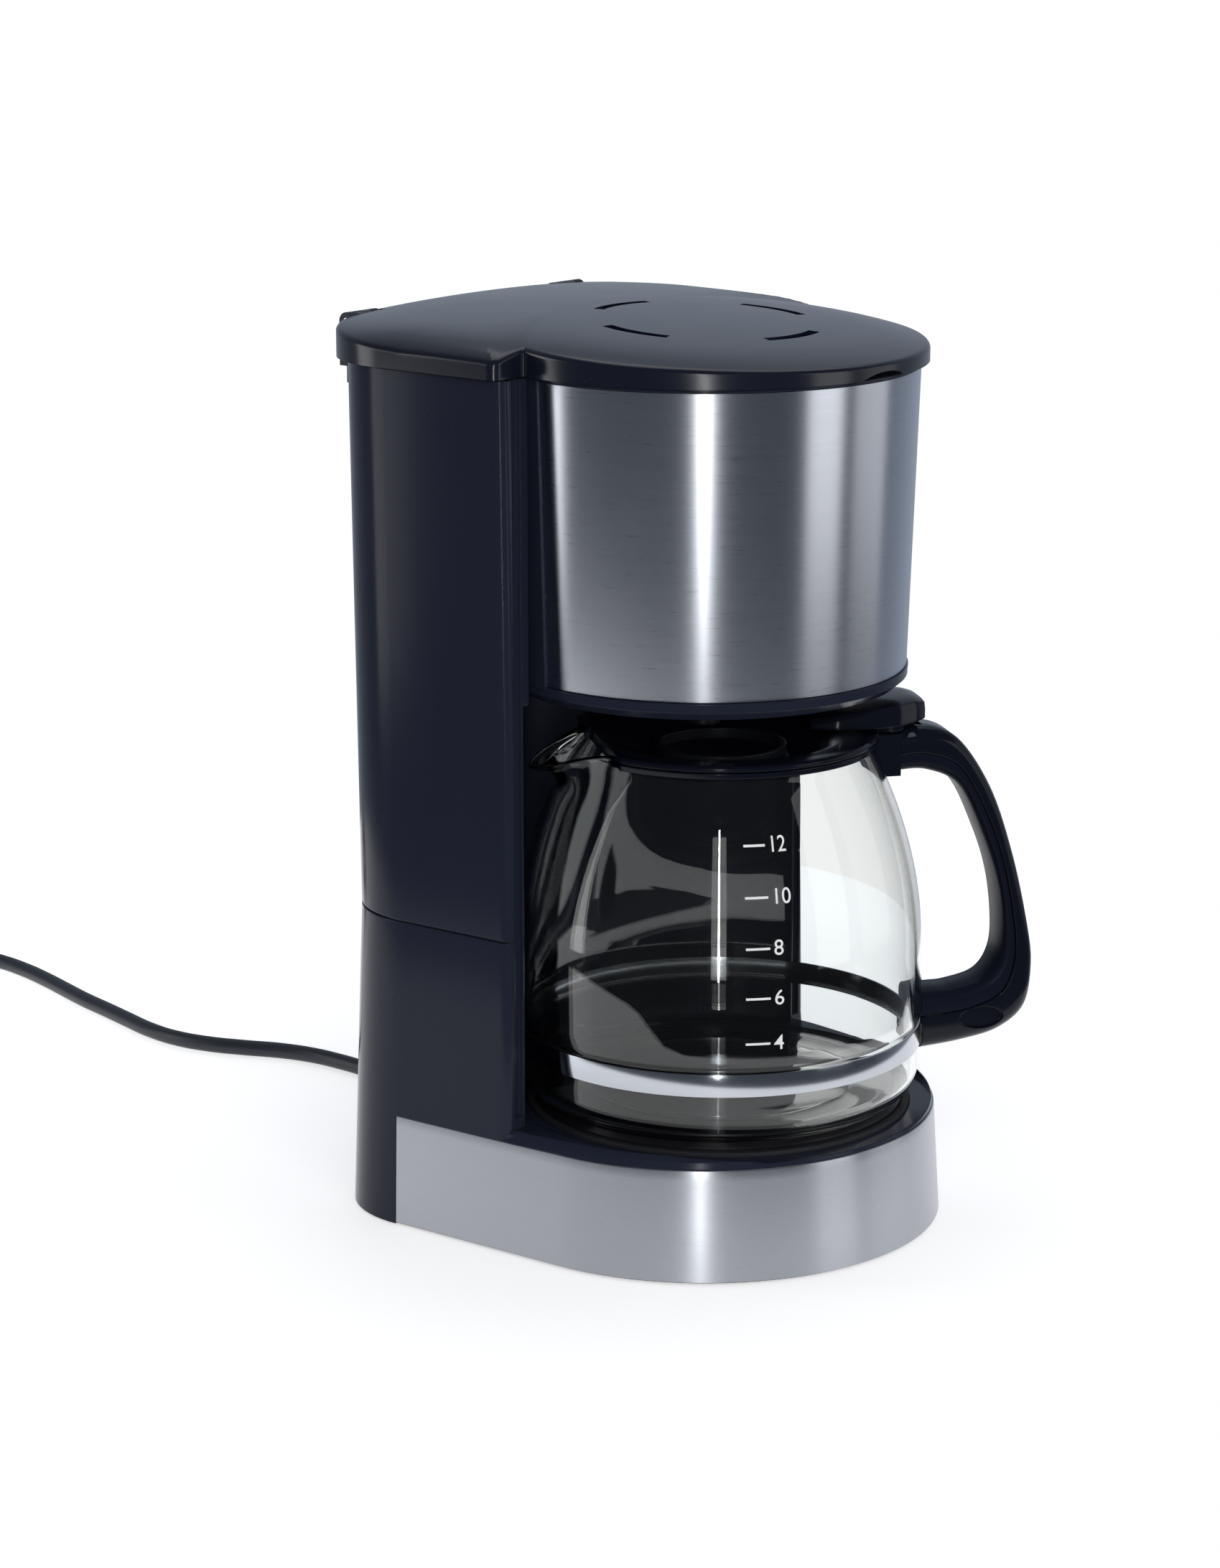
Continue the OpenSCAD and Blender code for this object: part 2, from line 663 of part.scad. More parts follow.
module terminal_block() color([0.9, 0.9, 0.86]) at_drum()
    translate([tower_half - 36, tower_front + 10, foot_h + wall]) difference() {
        cube([26, 16, 14]);
        for (i = [0:2]) translate([5 + i * 8, 8, 6]) cylinder(r = 2.4, h = 10, $fn = 24);
    }

rocker_pin_r = 1.3;
switch_x = tower_half + base_flare * (waist_z - switch_z) / waist_z;

module switch_bezel() color(satin) at_drum()
    translate([0, switch_y - switch_l / 2, switch_z - switch_h / 2]) difference() {
        union() {
            translate([switch_x - 16, seat, seat]) cube([16.5, switch_l - 2 * seat, switch_h - 2 * seat]);
            translate([switch_x + 0.3, -1.8, -1.8]) cube([1.4, switch_l + 3.6, switch_h + 3.6]);
        }
        translate([switch_x - 9, 2, 2]) cube([20, switch_l - 4, switch_h - 4]);
        translate([switch_x - 2, 0.6, switch_h / 2]) rotate([-90, 0, 0])
            cylinder(r = rocker_pin_r + 0.05, h = switch_l - 1.2, $fn = 24);
    }

module switch_rocker() color([0.2, 0.2, 0.22]) at_drum()
    translate([switch_x - 2, switch_y, switch_z]) rotate([90, 0, 0]) {
        linear_extrude(switch_l - 4.8, center = true)
            polygon([[-3, -3], [-3, 3], [1, 4.7], [4.2, 4.5], [3, 0], [3.2, -3.6], [1, -4.7]]);
        cylinder(r = rocker_pin_r, h = switch_l - 2, center = true, $fn = 24);
    }

// ---- Lid ----

module lid_outline(inset)
    union() {
        circle(lid_r - inset);
        hull() tower_corners(lid_half - inset, tower_rear + top_flare + lid_over - inset,
            side_bow / 2, corner_r - inset, tower_front + inset);
    }

// The lid's top is part of a large ball, with its highest point near the tower's middle
scoop_r = 34;
crown_y = tower_rear - 50;
crown_r = 10 * tower_rear;

module crown(drop)
    translate([0, crown_y, lid_top - crown_r]) sphere(r = crown_r - drop, $fn = 360);

module lid() color(black) at_drum() {
    difference() {
        intersection() {
            translate([0, 0, lid_under]) linear_extrude(40) lid_outline(0);
            crown(0);
        }
        intersection() {
            translate([0, 0, lid_under - 1]) linear_extrude(40) lid_outline(lid_t);
            crown(lid_t);
        }
        for (i = [0:3]) rotate(i * 90 - 20) translate([0, 0, lid_under]) rotate_extrude(angle = 40)
            translate([slot_ring - slot_w / 2, 0]) square([slot_w, 40]);
        // finger scoop in the front of the skirt
        translate([0, 0, lid_under - scoop_r + 3.5]) rotate([90, 0, 0]) cylinder(r = scoop_r, h = 2 * lid_r);
        mirrored() translate([hinge_x - barrel_w / 2 - ear_w - 2 * gap, hinge_y - barrel_r - 1.2, 0])
            cube([barrel_w + 2 * ear_w + 4 * gap, tower_rear, 2 * tower_top]);
    }
    mirrored() difference() {
        union() {
            translate([hinge_x - barrel_w / 2, hinge_y, hinge_z]) rotate([0, 90, 0])
                cylinder(r = barrel_r, h = barrel_w, $fn = 48);
            translate([hinge_x - barrel_w / 2, hinge_y - barrel_r - 3, hinge_z - barrel_r])
                cube([barrel_w, barrel_r + 3, 4]);
        }
        translate([hinge_x - barrel_w, hinge_y, hinge_z]) rotate([0, 90, 0])
            cylinder(r = hinge_pin_r + 0.05, h = 2 * barrel_w, $fn = 32);
    }
}

module hinge_pins() color(steel) at_drum()
    mirrored() translate([hinge_x - barrel_w / 2 - gap - ear_w, hinge_y, hinge_z])
        rotate([0, 90, 0]) cylinder(r = hinge_pin_r, h = barrel_w + 2 * gap + 2 * ear_w, $fn = 32);

// ---- Carafe ----
// Drawn with its axis at the origin and its handle along +X

module at_carafe() at_drum() at_plate() rotate([0, 0, handle_turn - 90]) children();

belly_z = glass_z + 50;
shoulder_z = neck_z - 6.5;
glass_band_z = glass_z + 19;

// Outer radius of the glass above its belly: the shoulder drops as a power of the height
function glass_at(z) = glass_r
    - (glass_r - neck_r - 1.5) * pow((z - belly_z) / (shoulder_z - belly_z), 2.1);

// Half profile of the glass, drawn t inside its outer face
function glass_profile(t) = concat(
    [[0, glass_z + 2 + t], [glass_r - 26, glass_z + 1 + t], [glass_r - 15, glass_z + t * 1.2]],
    [for (a = [0:15:90]) [glass_r - 11 + (9.9 - t) * sin(a), glass_z + 10 - (10 - t) * cos(a)]],
    [[glass_r - 1.1 - t, glass_band_z + glass_band_h], [glass_r - t, glass_band_z + glass_band_h + 3]],
    [for (i = [0:14]) let (z = belly_z + (shoulder_z - belly_z) * i / 14) [glass_at(z) - t, z]],
    [[neck_r + 0.3 - t, shoulder_z + 2.5], [neck_r - t, shoulder_z + 4]]);

module carafe_glass() color([0.8, 0.87, 0.9, 0.35]) at_carafe()
    difference() {
        union() {
            rotate_extrude() polygon(concat(glass_profile(0), [[neck_r, neck_z], [0, neck_z]]));
            spout(0);
        }
        rotate_extrude() polygon(concat(glass_profile(glass_t), [[neck_r - glass_t, neck_z + 10],
            [0, neck_z + 10]]));
        spout(glass_t);
    }

// The pouring lip opposite the handle
module spout(t)
    hull() {
        translate([-neck_r + 16, 0, neck_z - 12]) cylinder(r = 15 - t, h = 12 + 5 * t, $fn = 32);
        translate([-neck_r - 11, 0, neck_z - 2 + t]) sphere(r = 3.4 - t * 0.8, $fn = 32);
        translate([-neck_r - 11, 0, neck_z - 2 + 2 * t]) cylinder(r = 3.4 - t * 0.8, h = 2 + 3 * t, $fn = 32);
    }

ring_z = shoulder_z + 4 + seat;

module neck_ring() color(black) at_carafe()
    difference() {
        union() {
            rotate([0, 0, -152]) rotate_extrude(angle = 304) polygon([
                [neck_r + seat, ring_z], [neck_r + 2.6, ring_z], [neck_r + 3, neck_z - 0.3],
                [neck_r + seat, neck_z - 0.3]]);
            intersection() {
                translate([0, -handle_w / 2, neck_z - 18]) cube([head_x - seat, handle_w, 17.7]);
                difference() {
                    translate([0, 0, neck_z - 20]) cylinder(r = 200, h = 30);
                    rotate_extrude() polygon(concat([[0, 0]], glass_profile(-seat),
                        [[neck_r + seat, neck_z + 20], [0, neck_z + 20]]));
                }
            }
        }
        translate([head_x - 8, -5.2, neck_z - 6]) cube([20, 10.4, 30]);
    }

glass_band_r = glass_r - 1.1 + seat;
clasp_x = glass_r + 5.6;
clasp_z = glass_band_z + glass_band_h / 2;

module carafe_band() color(steel) at_carafe()
    difference() {
        union() {
            translate([0, 0, glass_band_z]) rotate_extrude()
                translate([glass_band_r, 0]) square([0.7, glass_band_h]);
            for (s = [-1, 1]) translate([glass_band_r + 0.2, s * 1.5 - 0.5, glass_band_z])
                cube([clasp_x + 4 - glass_band_r, 1, glass_band_h]);
        }
        translate([clasp_x, -10, clasp_z]) rotate([-90, 0, 0]) cylinder(r = 2.1, h = 20, $fn = 24);
        translate([glass_band_r - 4, -1, 0]) cube([6, 2, 200]);
    }

module band_screw() color(grey) at_carafe()
    translate([clasp_x, -handle_w / 2 + 1, clasp_z]) rotate([-90, 0, 0]) {
        difference() {
            cylinder(r = 3.4, h = 2);
            translate([-4, -0.5, -1]) cube([8, 1, 2]);
        }
        cylinder(r = 1.9, h = handle_w - 4);
    }

// Points on a smooth curve through every point of a list
function through(p, n = 6) = concat([for (i = [0:len(p) - 2], k = [0:n - 1])
    let (a = p[max(i - 1, 0)], b = p[i], c = p[i + 1], d = p[min(i + 2, len(p) - 1)], t = k / n)
    0.5 * (2 * b + (c - a) * t + (2 * a - 5 * b + 4 * c - d) * t * t
        + (3 * b - a - 3 * c + d) * t * t * t)], [p[len(p) - 1]]);

// Edges of the handle in its own plane, from the carafe's neck down to its foot
head_x = neck_r + 11;
arm_x = glass_r + 0.8;
handle_z0 = glass_z + 10.5;
outer_edge = through([[head_x, neck_z + 1.5], [head_x + 9, neck_z + 2.5], [handle_out - 36, neck_z - 4],
    [handle_out - 22, neck_z - 24], [handle_out - 11, neck_z - 50], [handle_out - 2, handle_z0 + 42],
    [handle_out, handle_z0 + 22], [handle_out - 6, handle_z0 + 7], [handle_out - 20, handle_z0 + 2.5],
    [arm_x + 14, handle_z0 + 0.6], [arm_x, handle_z0]]);
inner_edge = through([[head_x, neck_z - 17.5], [head_x + 12, neck_z - 18.5], [handle_out - 32, neck_z - 26],
    [handle_out - 24, neck_z - 43], [handle_out - 18, neck_z - 60], [handle_out - 17.5, handle_z0 + 44],
    [handle_out - 20, handle_z0 + 33], [handle_out - 27, handle_z0 + 27], [arm_x + 6, handle_z0 + 25.6],
    [arm_x + 3, handle_z0 + 25.5], [arm_x, handle_z0 + 25.5]]);
grip_share = 0.42;
grip_edge = [for (i = [0:len(inner_edge) - 1])
    inner_edge[i] + grip_share * (outer_edge[i] - inner_edge[i])];

function reversed(p) = [for (i = [len(p) - 1:-1:0]) p[i]];

// A slab of the handle between two edges, rounded off in plan
module handle_slab(from, to, grow)
    intersection() {
        rotate([90, 0, 0]) linear_extrude(60, center = true) polygon(concat(from, reversed(to)));
        linear_extrude(400) union() {
            translate([0, -handle_w / 2 - grow]) square([handle_out - 12, handle_w + 2 * grow]);
            translate([handle_out - handle_w / 2 - grow, 0]) circle(handle_w / 2 + grow);
        }
    }

module handle_shell() color(black) at_carafe()
    difference() {
        handle_slab(grip_edge, outer_edge, 0);
        handle_hardware();
    }

module handle_grip() color(satin) at_carafe()
    difference() {
        handle_slab([for (p = inner_edge) p], [for (i = [0:len(grip_edge) - 1])
            grip_edge[i] - 0.1 * unit(outer_edge[i] - inner_edge[i])], -0.8);
        handle_hardware();
    }
function unit(v) = v / norm(v);

pin_x = head_x + 4;
pin_z = neck_z - 1.5;
pin_r = 1.5;
cheek = 5;

// Room in the handle for the lid's knuckle, the hinge pin, the band's tabs and their screw
module handle_hardware() {
    translate([head_x - 10, -cheek, pin_z - 5.5]) cube([20, 2 * cheek, 60]);
    translate([pin_x, -handle_w, pin_z]) rotate([-90, 0, 0])
        cylinder(r = pin_r + 0.05, h = 2 * handle_w, $fn = 32);
    translate([arm_x - 10, -2.6, glass_band_z - 1]) cube([clasp_x + 5 - arm_x + 10, 5.2, glass_band_h + 2]);
    translate([clasp_x, -handle_w, clasp_z]) rotate([-90, 0, 0])
        cylinder(r = 2, h = 1.5 * handle_w - 2, $fn = 24);
    translate([clasp_x, -handle_w, clasp_z]) rotate([-90, 0, 0]) cylinder(r = 3.6, h = handle_w / 2 + 3.2);
}

module lid_pin() color(steel) at_carafe()
    translate([pin_x, -handle_w / 2 + 0.6, pin_z]) rotate([-90, 0, 0])
        cylinder(r = pin_r, h = handle_w - 1.2, $fn = 32);

flange_z = neck_z + gap;
basin_r = neck_r - 7;
basin_depth = 12;

// Height of the lid's dished top at a radius
function basin(r) = flange_z + 2 - basin_depth * (basin_r - r) / (basin_r - 12);

module carafe_lid() color(black) at_carafe() {
    difference() {
        rotate_extrude() polygon([
            [5, basin(12) - 2], [12, basin(12) - 2], [neck_r - 6, neck_z - 2.6],
            [neck_r - glass_t - 0.6, neck_z - 3.4],
            [neck_r - glass_t - 0.6, flange_z], [neck_r + 3, flange_z], [neck_r + 3, flange_z + 1.2],
            [neck_r + 2, flange_z + 2], [basin_r, flange_z + 2], [12, basin(12)], [5, basin(12)]]);
        translate([-neck_r - 6, -16, neck_z - 20]) cube([16, 32, 40]);
    }
    difference() {
        union() {
            translate([neck_r - 2, -cheek + 0.4, flange_z]) cube([pin_x - neck_r + 2, 2 * cheek - 0.8, 2]);
            translate([pin_x, -cheek + 0.4, pin_z]) rotate([-90, 0, 0])
                cylinder(r = 4.4, h = 2 * cheek - 0.8, $fn = 48);
            thumb_lever();
        }
        translate([pin_x, -20, pin_z]) rotate([-90, 0, 0]) cylinder(r = pin_r + 0.05, h = 40, $fn = 32);
    }
}

// The tongue that the thumb presses to lift the lid
module thumb_lever() {
    lever = through([[neck_r - 6, flange_z + 1], [neck_r + 2, flange_z + 4], [neck_r + 10, neck_z + 10],
        [neck_r + 17, neck_z + 12], [neck_r + 23, neck_z + 8.6]], 5);
    under = through([[neck_r + 22, neck_z + 7], [neck_r + 16, neck_z + 8], [neck_r + 12, neck_z + 4],
        [neck_r + 9, flange_z + 1], [neck_r - 5, flange_z + 0.6]], 5);
    intersection() {
        rotate([90, 0, 0]) linear_extrude(26, center = true) polygon(concat(lever, under));
        linear_extrude(300) union() {
            translate([neck_r - 8, -cheek + 0.4]) square([40, 2 * cheek - 0.8]);
            translate([neck_r + 10, 0]) circle(13);
        }
    }
}

// Ring on the lid's funnel that catches the coffee
module funnel_ring() color(satin) at_carafe()
    rotate_extrude() polygon([[22, basin(22) + seat], [24, basin(24) + seat],
        [24, basin(24) + 3.4], [22, basin(24) + 3.4]]);

// ---- Cord ----

// A round tube of n sides swept along a list of points
function cross3(a, b) = [a[1] * b[2] - a[2] * b[1], a[2] * b[0] - a[0] * b[2], a[0] * b[1] - a[1] * b[0]];
function along(p, i) = unit(p[min(i + 1, len(p) - 1)] - p[max(i - 1, 0)]);
function side_of(t) = abs(t[2]) > 0.95 ? unit(cross3([1, 0, 0], t)) : unit(cross3([0, 0, 1], t));
module tube(p, r, n) {
    rings = len(p);
    points = [for (i = [0:rings - 1], k = [0:n - 1])
        let (t = along(p, i), s = side_of(t), u = cross3(t, s), a = k * 360 / n)
        p[i] + r * (cos(a) * s + sin(a) * u)];
    walls = [for (i = [0:rings - 2], k = [0:n - 1]) let (a = i * n + k, b = i * n + (k + 1) % n)
        each [[a, a + n, b], [b, a + n, b + n]]];
    polyhedron(points, concat(walls, [[for (k = [0:n - 1]) k]],
        [[for (k = [n - 1:-1:0]) (rings - 1) * n + k]]));
}

module strain_relief() color(satin) at_drum()
    translate([exit_x, inner_rear, exit_z]) rotate([-90, 0, 0]) difference() {
        union() {
            cylinder(r = exit_bore - seat, h = rear_wall - inner_rear + 1);
            translate([0, 0, rear_wall - inner_rear + seat]) cylinder(r = exit_bore + 2, h = 2.4);
            translate([0, 0, rear_wall - inner_rear + 1])
                cylinder(r1 = exit_bore + 0.6, r2 = cord_d / 2 + 1, h = relief_l);
            translate([0, 0, -2.4 - seat]) cylinder(r = exit_bore + 2, h = 2.4);
            translate([0, 0, -seat - 0.1]) cylinder(r = exit_bore - seat, h = 1);
        }
        translate([0, 0, -5]) cylinder(r = cord_d / 2 + seat, h = 60);
    }

// Route of the cord behind the drum axis, after the strain relief
cord_z = cord_d / 2;
cord_route = [[30, 98, exit_z], [30, 112, exit_z], [30, 127, exit_z], [30, 143, exit_z],
    [30, 156, 13.4], [30, 169, 9.4], [30, 182, 5.4], [30, 196, cord_z], [30, 212, cord_z],
    [29, 229, cord_z], [25, 244, cord_z], [18, 259, cord_z], [12, 274, cord_z], [9, 290, cord_z],
    [10, 307, cord_z], [14, 325, cord_z], [18, 342, cord_z], [22, 360, cord_z], [27, 378, cord_z],
    [32, 396, cord_z], [36, 414, cord_z], [38, 432, cord_z], [37, 450, cord_z], [32, 468, cord_z],
    [26, 486, cord_z], [20, 504, cord_z], [16.4, 519, cord_z]];
coil_x = 60;
coil_y = 540;
coil_in = 26;
coil_out = 48;
coil_path = coil_out - cord_z;
coil_tail = 26;

module cord_lead() color(black) at_drum() tube(cord_route, cord_d / 2, 10);

module cord_coil() color(black) at_drum() translate([coil_x, coil_y, 0]) {
    rotate_extrude() polygon([
        [coil_in, 0], [coil_out, 0], [coil_out, cord_d], [coil_out - 6, 2 * cord_d],
        [coil_in + 2, 2 * cord_d], [coil_in, cord_d]]);
    translate([0, coil_path, cord_z]) rotate([0, 90, 0]) cylinder(r = cord_z - 0.05, h = coil_tail);
}

plug_l = 34;

module at_plug() translate([coil_x + coil_tail, coil_y + coil_path, 0]) rotate([0, 0, -90]) children();

module plug_body() color(black) at_drum() at_plug()
    difference() {
        hull() {
            translate([0, 0, cord_z]) rotate([-90, 0, 0]) cylinder(r = cord_d / 2 - 0.05, h = 1, $fn = 24);
            translate([-9, 16, 0]) cube([18, 18, 13]);
        }
        for (s = [-1, 1]) translate([s * 5.5, plug_l - 8, 6.5]) rotate([-90, 0, 0])
            cylinder(r = 2.05, h = 20, $fn = 24);
    }

module plug_pins() color(steel) at_drum() at_plug()
    for (s = [-1, 1]) translate([s * 5.5, plug_l - 7, 6.5]) rotate([-90, 0, 0]) {
        cylinder(r = 2, h = 24, $fn = 24);
        translate([0, 0, 24]) cylinder(r1 = 2, r2 = 1, h = 2, $fn = 24);
    }

lower_housing();
tower_housing();
drum_housing();
drum_sleeve();
base_band();
bottom_cover();
feet();
base_screws();
water_tank();
level_window();
filter_basket();
mesh_filter();
spray_arm();
riser_tube();
check_valve();
inlet_hose();
outlet_hose();
heater_tube();
heater_clamp();
clamp_screw();
thermostat();
thermal_fuse();
hot_plate();
plate_seal();
terminal_block();
switch_bezel();
switch_rocker();
hinge_pins();
lid();
drip_valve();
valve_spring();
carafe_glass();
neck_ring();
carafe_band();
band_screw();
handle_shell();
handle_grip();
carafe_lid();
funnel_ring();
lid_pin();
strain_relief();
cord_lead();
cord_coil();
plug_body();
plug_pins();
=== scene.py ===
"""Dressed model of a drip coffee maker, laid out as an add-on and run as a script."""
import json
import math

import bpy
import bmesh
import numpy as np
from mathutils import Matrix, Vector

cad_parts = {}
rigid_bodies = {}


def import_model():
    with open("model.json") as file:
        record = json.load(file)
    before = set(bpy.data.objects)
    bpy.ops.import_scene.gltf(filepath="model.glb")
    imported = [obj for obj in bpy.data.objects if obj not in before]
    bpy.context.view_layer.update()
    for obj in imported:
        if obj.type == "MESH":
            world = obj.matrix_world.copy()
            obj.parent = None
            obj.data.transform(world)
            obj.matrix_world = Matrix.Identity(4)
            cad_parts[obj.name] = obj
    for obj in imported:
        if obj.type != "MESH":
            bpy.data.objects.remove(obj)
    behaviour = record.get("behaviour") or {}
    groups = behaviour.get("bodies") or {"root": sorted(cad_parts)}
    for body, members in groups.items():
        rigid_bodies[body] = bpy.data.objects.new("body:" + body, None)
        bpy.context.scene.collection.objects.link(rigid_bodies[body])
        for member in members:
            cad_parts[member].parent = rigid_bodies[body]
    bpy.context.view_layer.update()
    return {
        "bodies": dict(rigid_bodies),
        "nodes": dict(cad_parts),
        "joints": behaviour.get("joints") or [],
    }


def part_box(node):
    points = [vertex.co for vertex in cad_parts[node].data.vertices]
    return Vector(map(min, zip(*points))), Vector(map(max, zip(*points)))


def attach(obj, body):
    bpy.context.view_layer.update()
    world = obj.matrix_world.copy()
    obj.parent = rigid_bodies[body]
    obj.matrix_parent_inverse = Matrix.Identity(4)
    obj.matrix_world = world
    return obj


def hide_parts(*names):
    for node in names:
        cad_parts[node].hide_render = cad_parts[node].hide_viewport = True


bl_info = {
    "name": "Drip coffee maker",
    "version": (1, 0, 0),
    "blender": (4, 5, 0),
    "location": "View3D > Sidebar > Coffee maker",
    "description": "Builds the dressed model of a drip coffee maker round its engineering solids",
    "category": "Object",
}

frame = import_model()
MM = 0.001
# Points nearer to each other than this, in metres, are one
MERGE = 1e-6
# How far a cutter reaches past what it cuts, in millimetres
PAST = 5


def box_mm(node):
    """Lowest and highest corner of a solid, in millimetres."""
    low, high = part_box(node)
    return np.array(low) / MM, np.array(high) / MM


def middle(node):
    """Middle of a solid seen from above, in millimetres."""
    low, high = box_mm(node)
    return (low + high)[:2] / 2


# Places and sizes that the solids give, in millimetres
DRUM_AXIS = middle("filter_basket")
JUG_AXIS = middle("hot_plate")
SLEEVE_LOW, SLEEVE_HIGH = box_mm("drum_sleeve")
BAND_LOW, BAND_HIGH = box_mm("base_band")
GLASS_LOW, GLASS_HIGH = box_mm("carafe_glass")
LID_LOW, LID_HIGH = box_mm("lid")
BASE_RADIUS = DRUM_AXIS[1] - BAND_LOW[1] + 0.1
# From the drum's axis to the housing's rear face
BASE_REAR = 113.0
# The handle points from the carafe's axis to the pin of its lid
JUG_LID_PIN = next(j["pos_m"] for j in frame["joints"] if j["name"] == "carafe_lid_hinge")
HANDLE_DIRECTION = math.atan2(JUG_LID_PIN[1] / MM - JUG_AXIS[1], JUG_LID_PIN[0] / MM - JUG_AXIS[0])


# ---- Meshes from arrays ----


def placed(name, data):
    """An object that holds some data, put in the scene."""
    piece = bpy.data.objects.new(name, data)
    bpy.context.scene.collection.objects.link(piece)
    return piece


def mesh_from_grid(name, points, wrap_u=False, wrap_v=False, uv=None, caps=False):
    """A mesh over a grid of points, whose first index runs along u and second along v.

    Each square of four neighbouring points is a face; a wrapped direction joins its last row to its
    first. With caps, the first and last rows along u are closed by one face each."""
    rows, columns = points.shape[:2]
    u = np.arange(rows if wrap_u else rows - 1)
    v = np.arange(columns if wrap_v else columns - 1)
    a, b = np.meshgrid(u, v, indexing="ij")
    a2, b2 = (a + 1) % rows, (b + 1) % columns
    quads = np.stack(
        [a * columns + b, a2 * columns + b, a2 * columns + b2, a * columns + b2], axis=-1
    ).reshape(-1, 4)
    mesh = bpy.data.meshes.new(name)
    mesh.vertices.add(rows * columns)
    mesh.vertices.foreach_set("co", (points.reshape(-1, 3) * MM).astype(np.float32).ravel())
    corners = quads.ravel()
    starts = np.arange(len(quads)) * 4
    totals = np.full(len(quads), 4)
    if caps:
        first, last = np.arange(columns), (rows - 1) * columns + np.arange(columns)[::-1]
        corners = np.concatenate([corners, first, last])
        starts = np.concatenate([starts, [len(quads) * 4, len(quads) * 4 + columns]])
        totals = np.concatenate([totals, [columns, columns]])
    mesh.loops.add(len(corners))
    mesh.loops.foreach_set("vertex_index", corners.astype(np.int32))
    mesh.polygons.add(len(starts))
    mesh.polygons.foreach_set("loop_start", starts.astype(np.int32))
    mesh.polygons.foreach_set("loop_total", totals.astype(np.int32))
    if uv is not None:
        u_plus, v_plus = a + 1, b + 1
        layer = mesh.uv_layers.new(name="surface")
        pairs = np.stack([
            np.stack([uv[0](a), uv[1](b)], -1), np.stack([uv[0](u_plus), uv[1](b)], -1),
            np.stack([uv[0](u_plus), uv[1](v_plus)], -1), np.stack([uv[0](a), uv[1](v_plus)], -1),
        ], axis=2).reshape(-1, 2)
        flat = np.zeros((len(corners), 2), np.float32)
        flat[: len(pairs)] = pairs
        layer.data.foreach_set("uv", flat.ravel())
    mesh.update(calc_edges=True)
    mesh.validate()
    return mesh


def finish_piece(name, mesh, material, body, replaces=(), angle=35):
    """Puts a mesh in the scene as one outward-facing, smoothly shaded piece of a body."""
    shell = bmesh.new()
    shell.from_mesh(mesh)
    bmesh.ops.remove_doubles(shell, verts=shell.verts, dist=MERGE)
    bmesh.ops.dissolve_degenerate(shell, edges=shell.edges, dist=MERGE / 10)
    bmesh.ops.recalc_face_normals(shell, faces=shell.faces)
    for face in shell.faces:
        face.smooth = True
    for edge in shell.edges:
        if len(edge.link_faces) == 2 and edge.calc_face_angle(0) > math.radians(angle):
            edge.smooth = False
    shell.to_mesh(mesh)
    shell.free()
    mesh.materials.clear()
    mesh.materials.append(material)
    piece = placed(name, mesh)
    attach(piece, body)
    if replaces:
        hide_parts(*replaces)


def smooth_copy(node, material):
    """A merged and smoothly shaded copy of a solid, which stands for it."""
    source = frame["nodes"][node]
    body = next(b for b, e in frame["bodies"].items() if e == source.parent)
    finish_piece(node + "_finish", source.data.copy(), material, body, (node,), 30)


def joined(name, meshes):
    """Several meshes put together as one."""
    whole = bmesh.new()
    for mesh in meshes:
        whole.from_mesh(mesh)
    mesh = bpy.data.meshes.new(name)
    whole.to_mesh(mesh)
    whole.free()
    return mesh


def block(name, low, high, turn=0.0, about=(0.0, 0.0)):
    """A box between two corners in millimetres, turned by some radians about an upright axis."""
    shell = bmesh.new()
    bmesh.ops.create_cube(shell, size=1.0)
    low, high = np.array(low, float), np.array(high, float)
    for vertex in shell.verts:
        x, y, z = low + (np.array(vertex.co) + 0.5) * (high - low)
        vertex.co = (
            (about[0] + x * math.cos(turn) - y * math.sin(turn)) * MM,
            (about[1] + x * math.sin(turn) + y * math.cos(turn)) * MM, z * MM)
    mesh = bpy.data.meshes.new(name)
    shell.to_mesh(mesh)
    shell.free()
    return mesh


def jug_block(low, high):
    """A box in the handle's own frame: along the handle and across it from the carafe's axis."""
    return block("jug_block", low, high, HANDLE_DIRECTION, JUG_AXIS)


def closed_outwards(mesh):
    """Merges the doubled points of a closed mesh and turns its faces outwards."""
    shell = bmesh.new()
    shell.from_mesh(mesh)
    bmesh.ops.remove_doubles(shell, verts=shell.verts, dist=MERGE)
    bmesh.ops.recalc_face_normals(shell, faces=shell.faces)
    shell.to_mesh(mesh)
    shell.free()
    return mesh


def laid(mesh, place, order, signs=(1, 1, 1)):
    """A mesh whose axes are swapped or turned about and which is then put at a place in
    millimetres."""
    points = np.empty(len(mesh.vertices) * 3)
    mesh.vertices.foreach_get("co", points)
    points = points.reshape(-1, 3)[:, list(order)] * signs + np.array(place) * MM
    mesh.vertices.foreach_set("co", points.ravel())
    return mesh


def cut(mesh, tools):
    """A mesh with closed tools cut from it."""
    body = placed("work_body", closed_outwards(mesh))
    helpers = []
    for tool in tools:
        helper = placed("work_tool", closed_outwards(tool))
        step = body.modifiers.new("cut", "BOOLEAN")
        step.operation = "DIFFERENCE"
        step.solver = "EXACT"
        step.object = helper
        helpers.append(helper)
    graph = bpy.context.evaluated_depsgraph_get()
    result = bpy.data.meshes.new_from_object(body.evaluated_get(graph))
    for item in (body, *helpers):
        bpy.data.objects.remove(item)
    return result


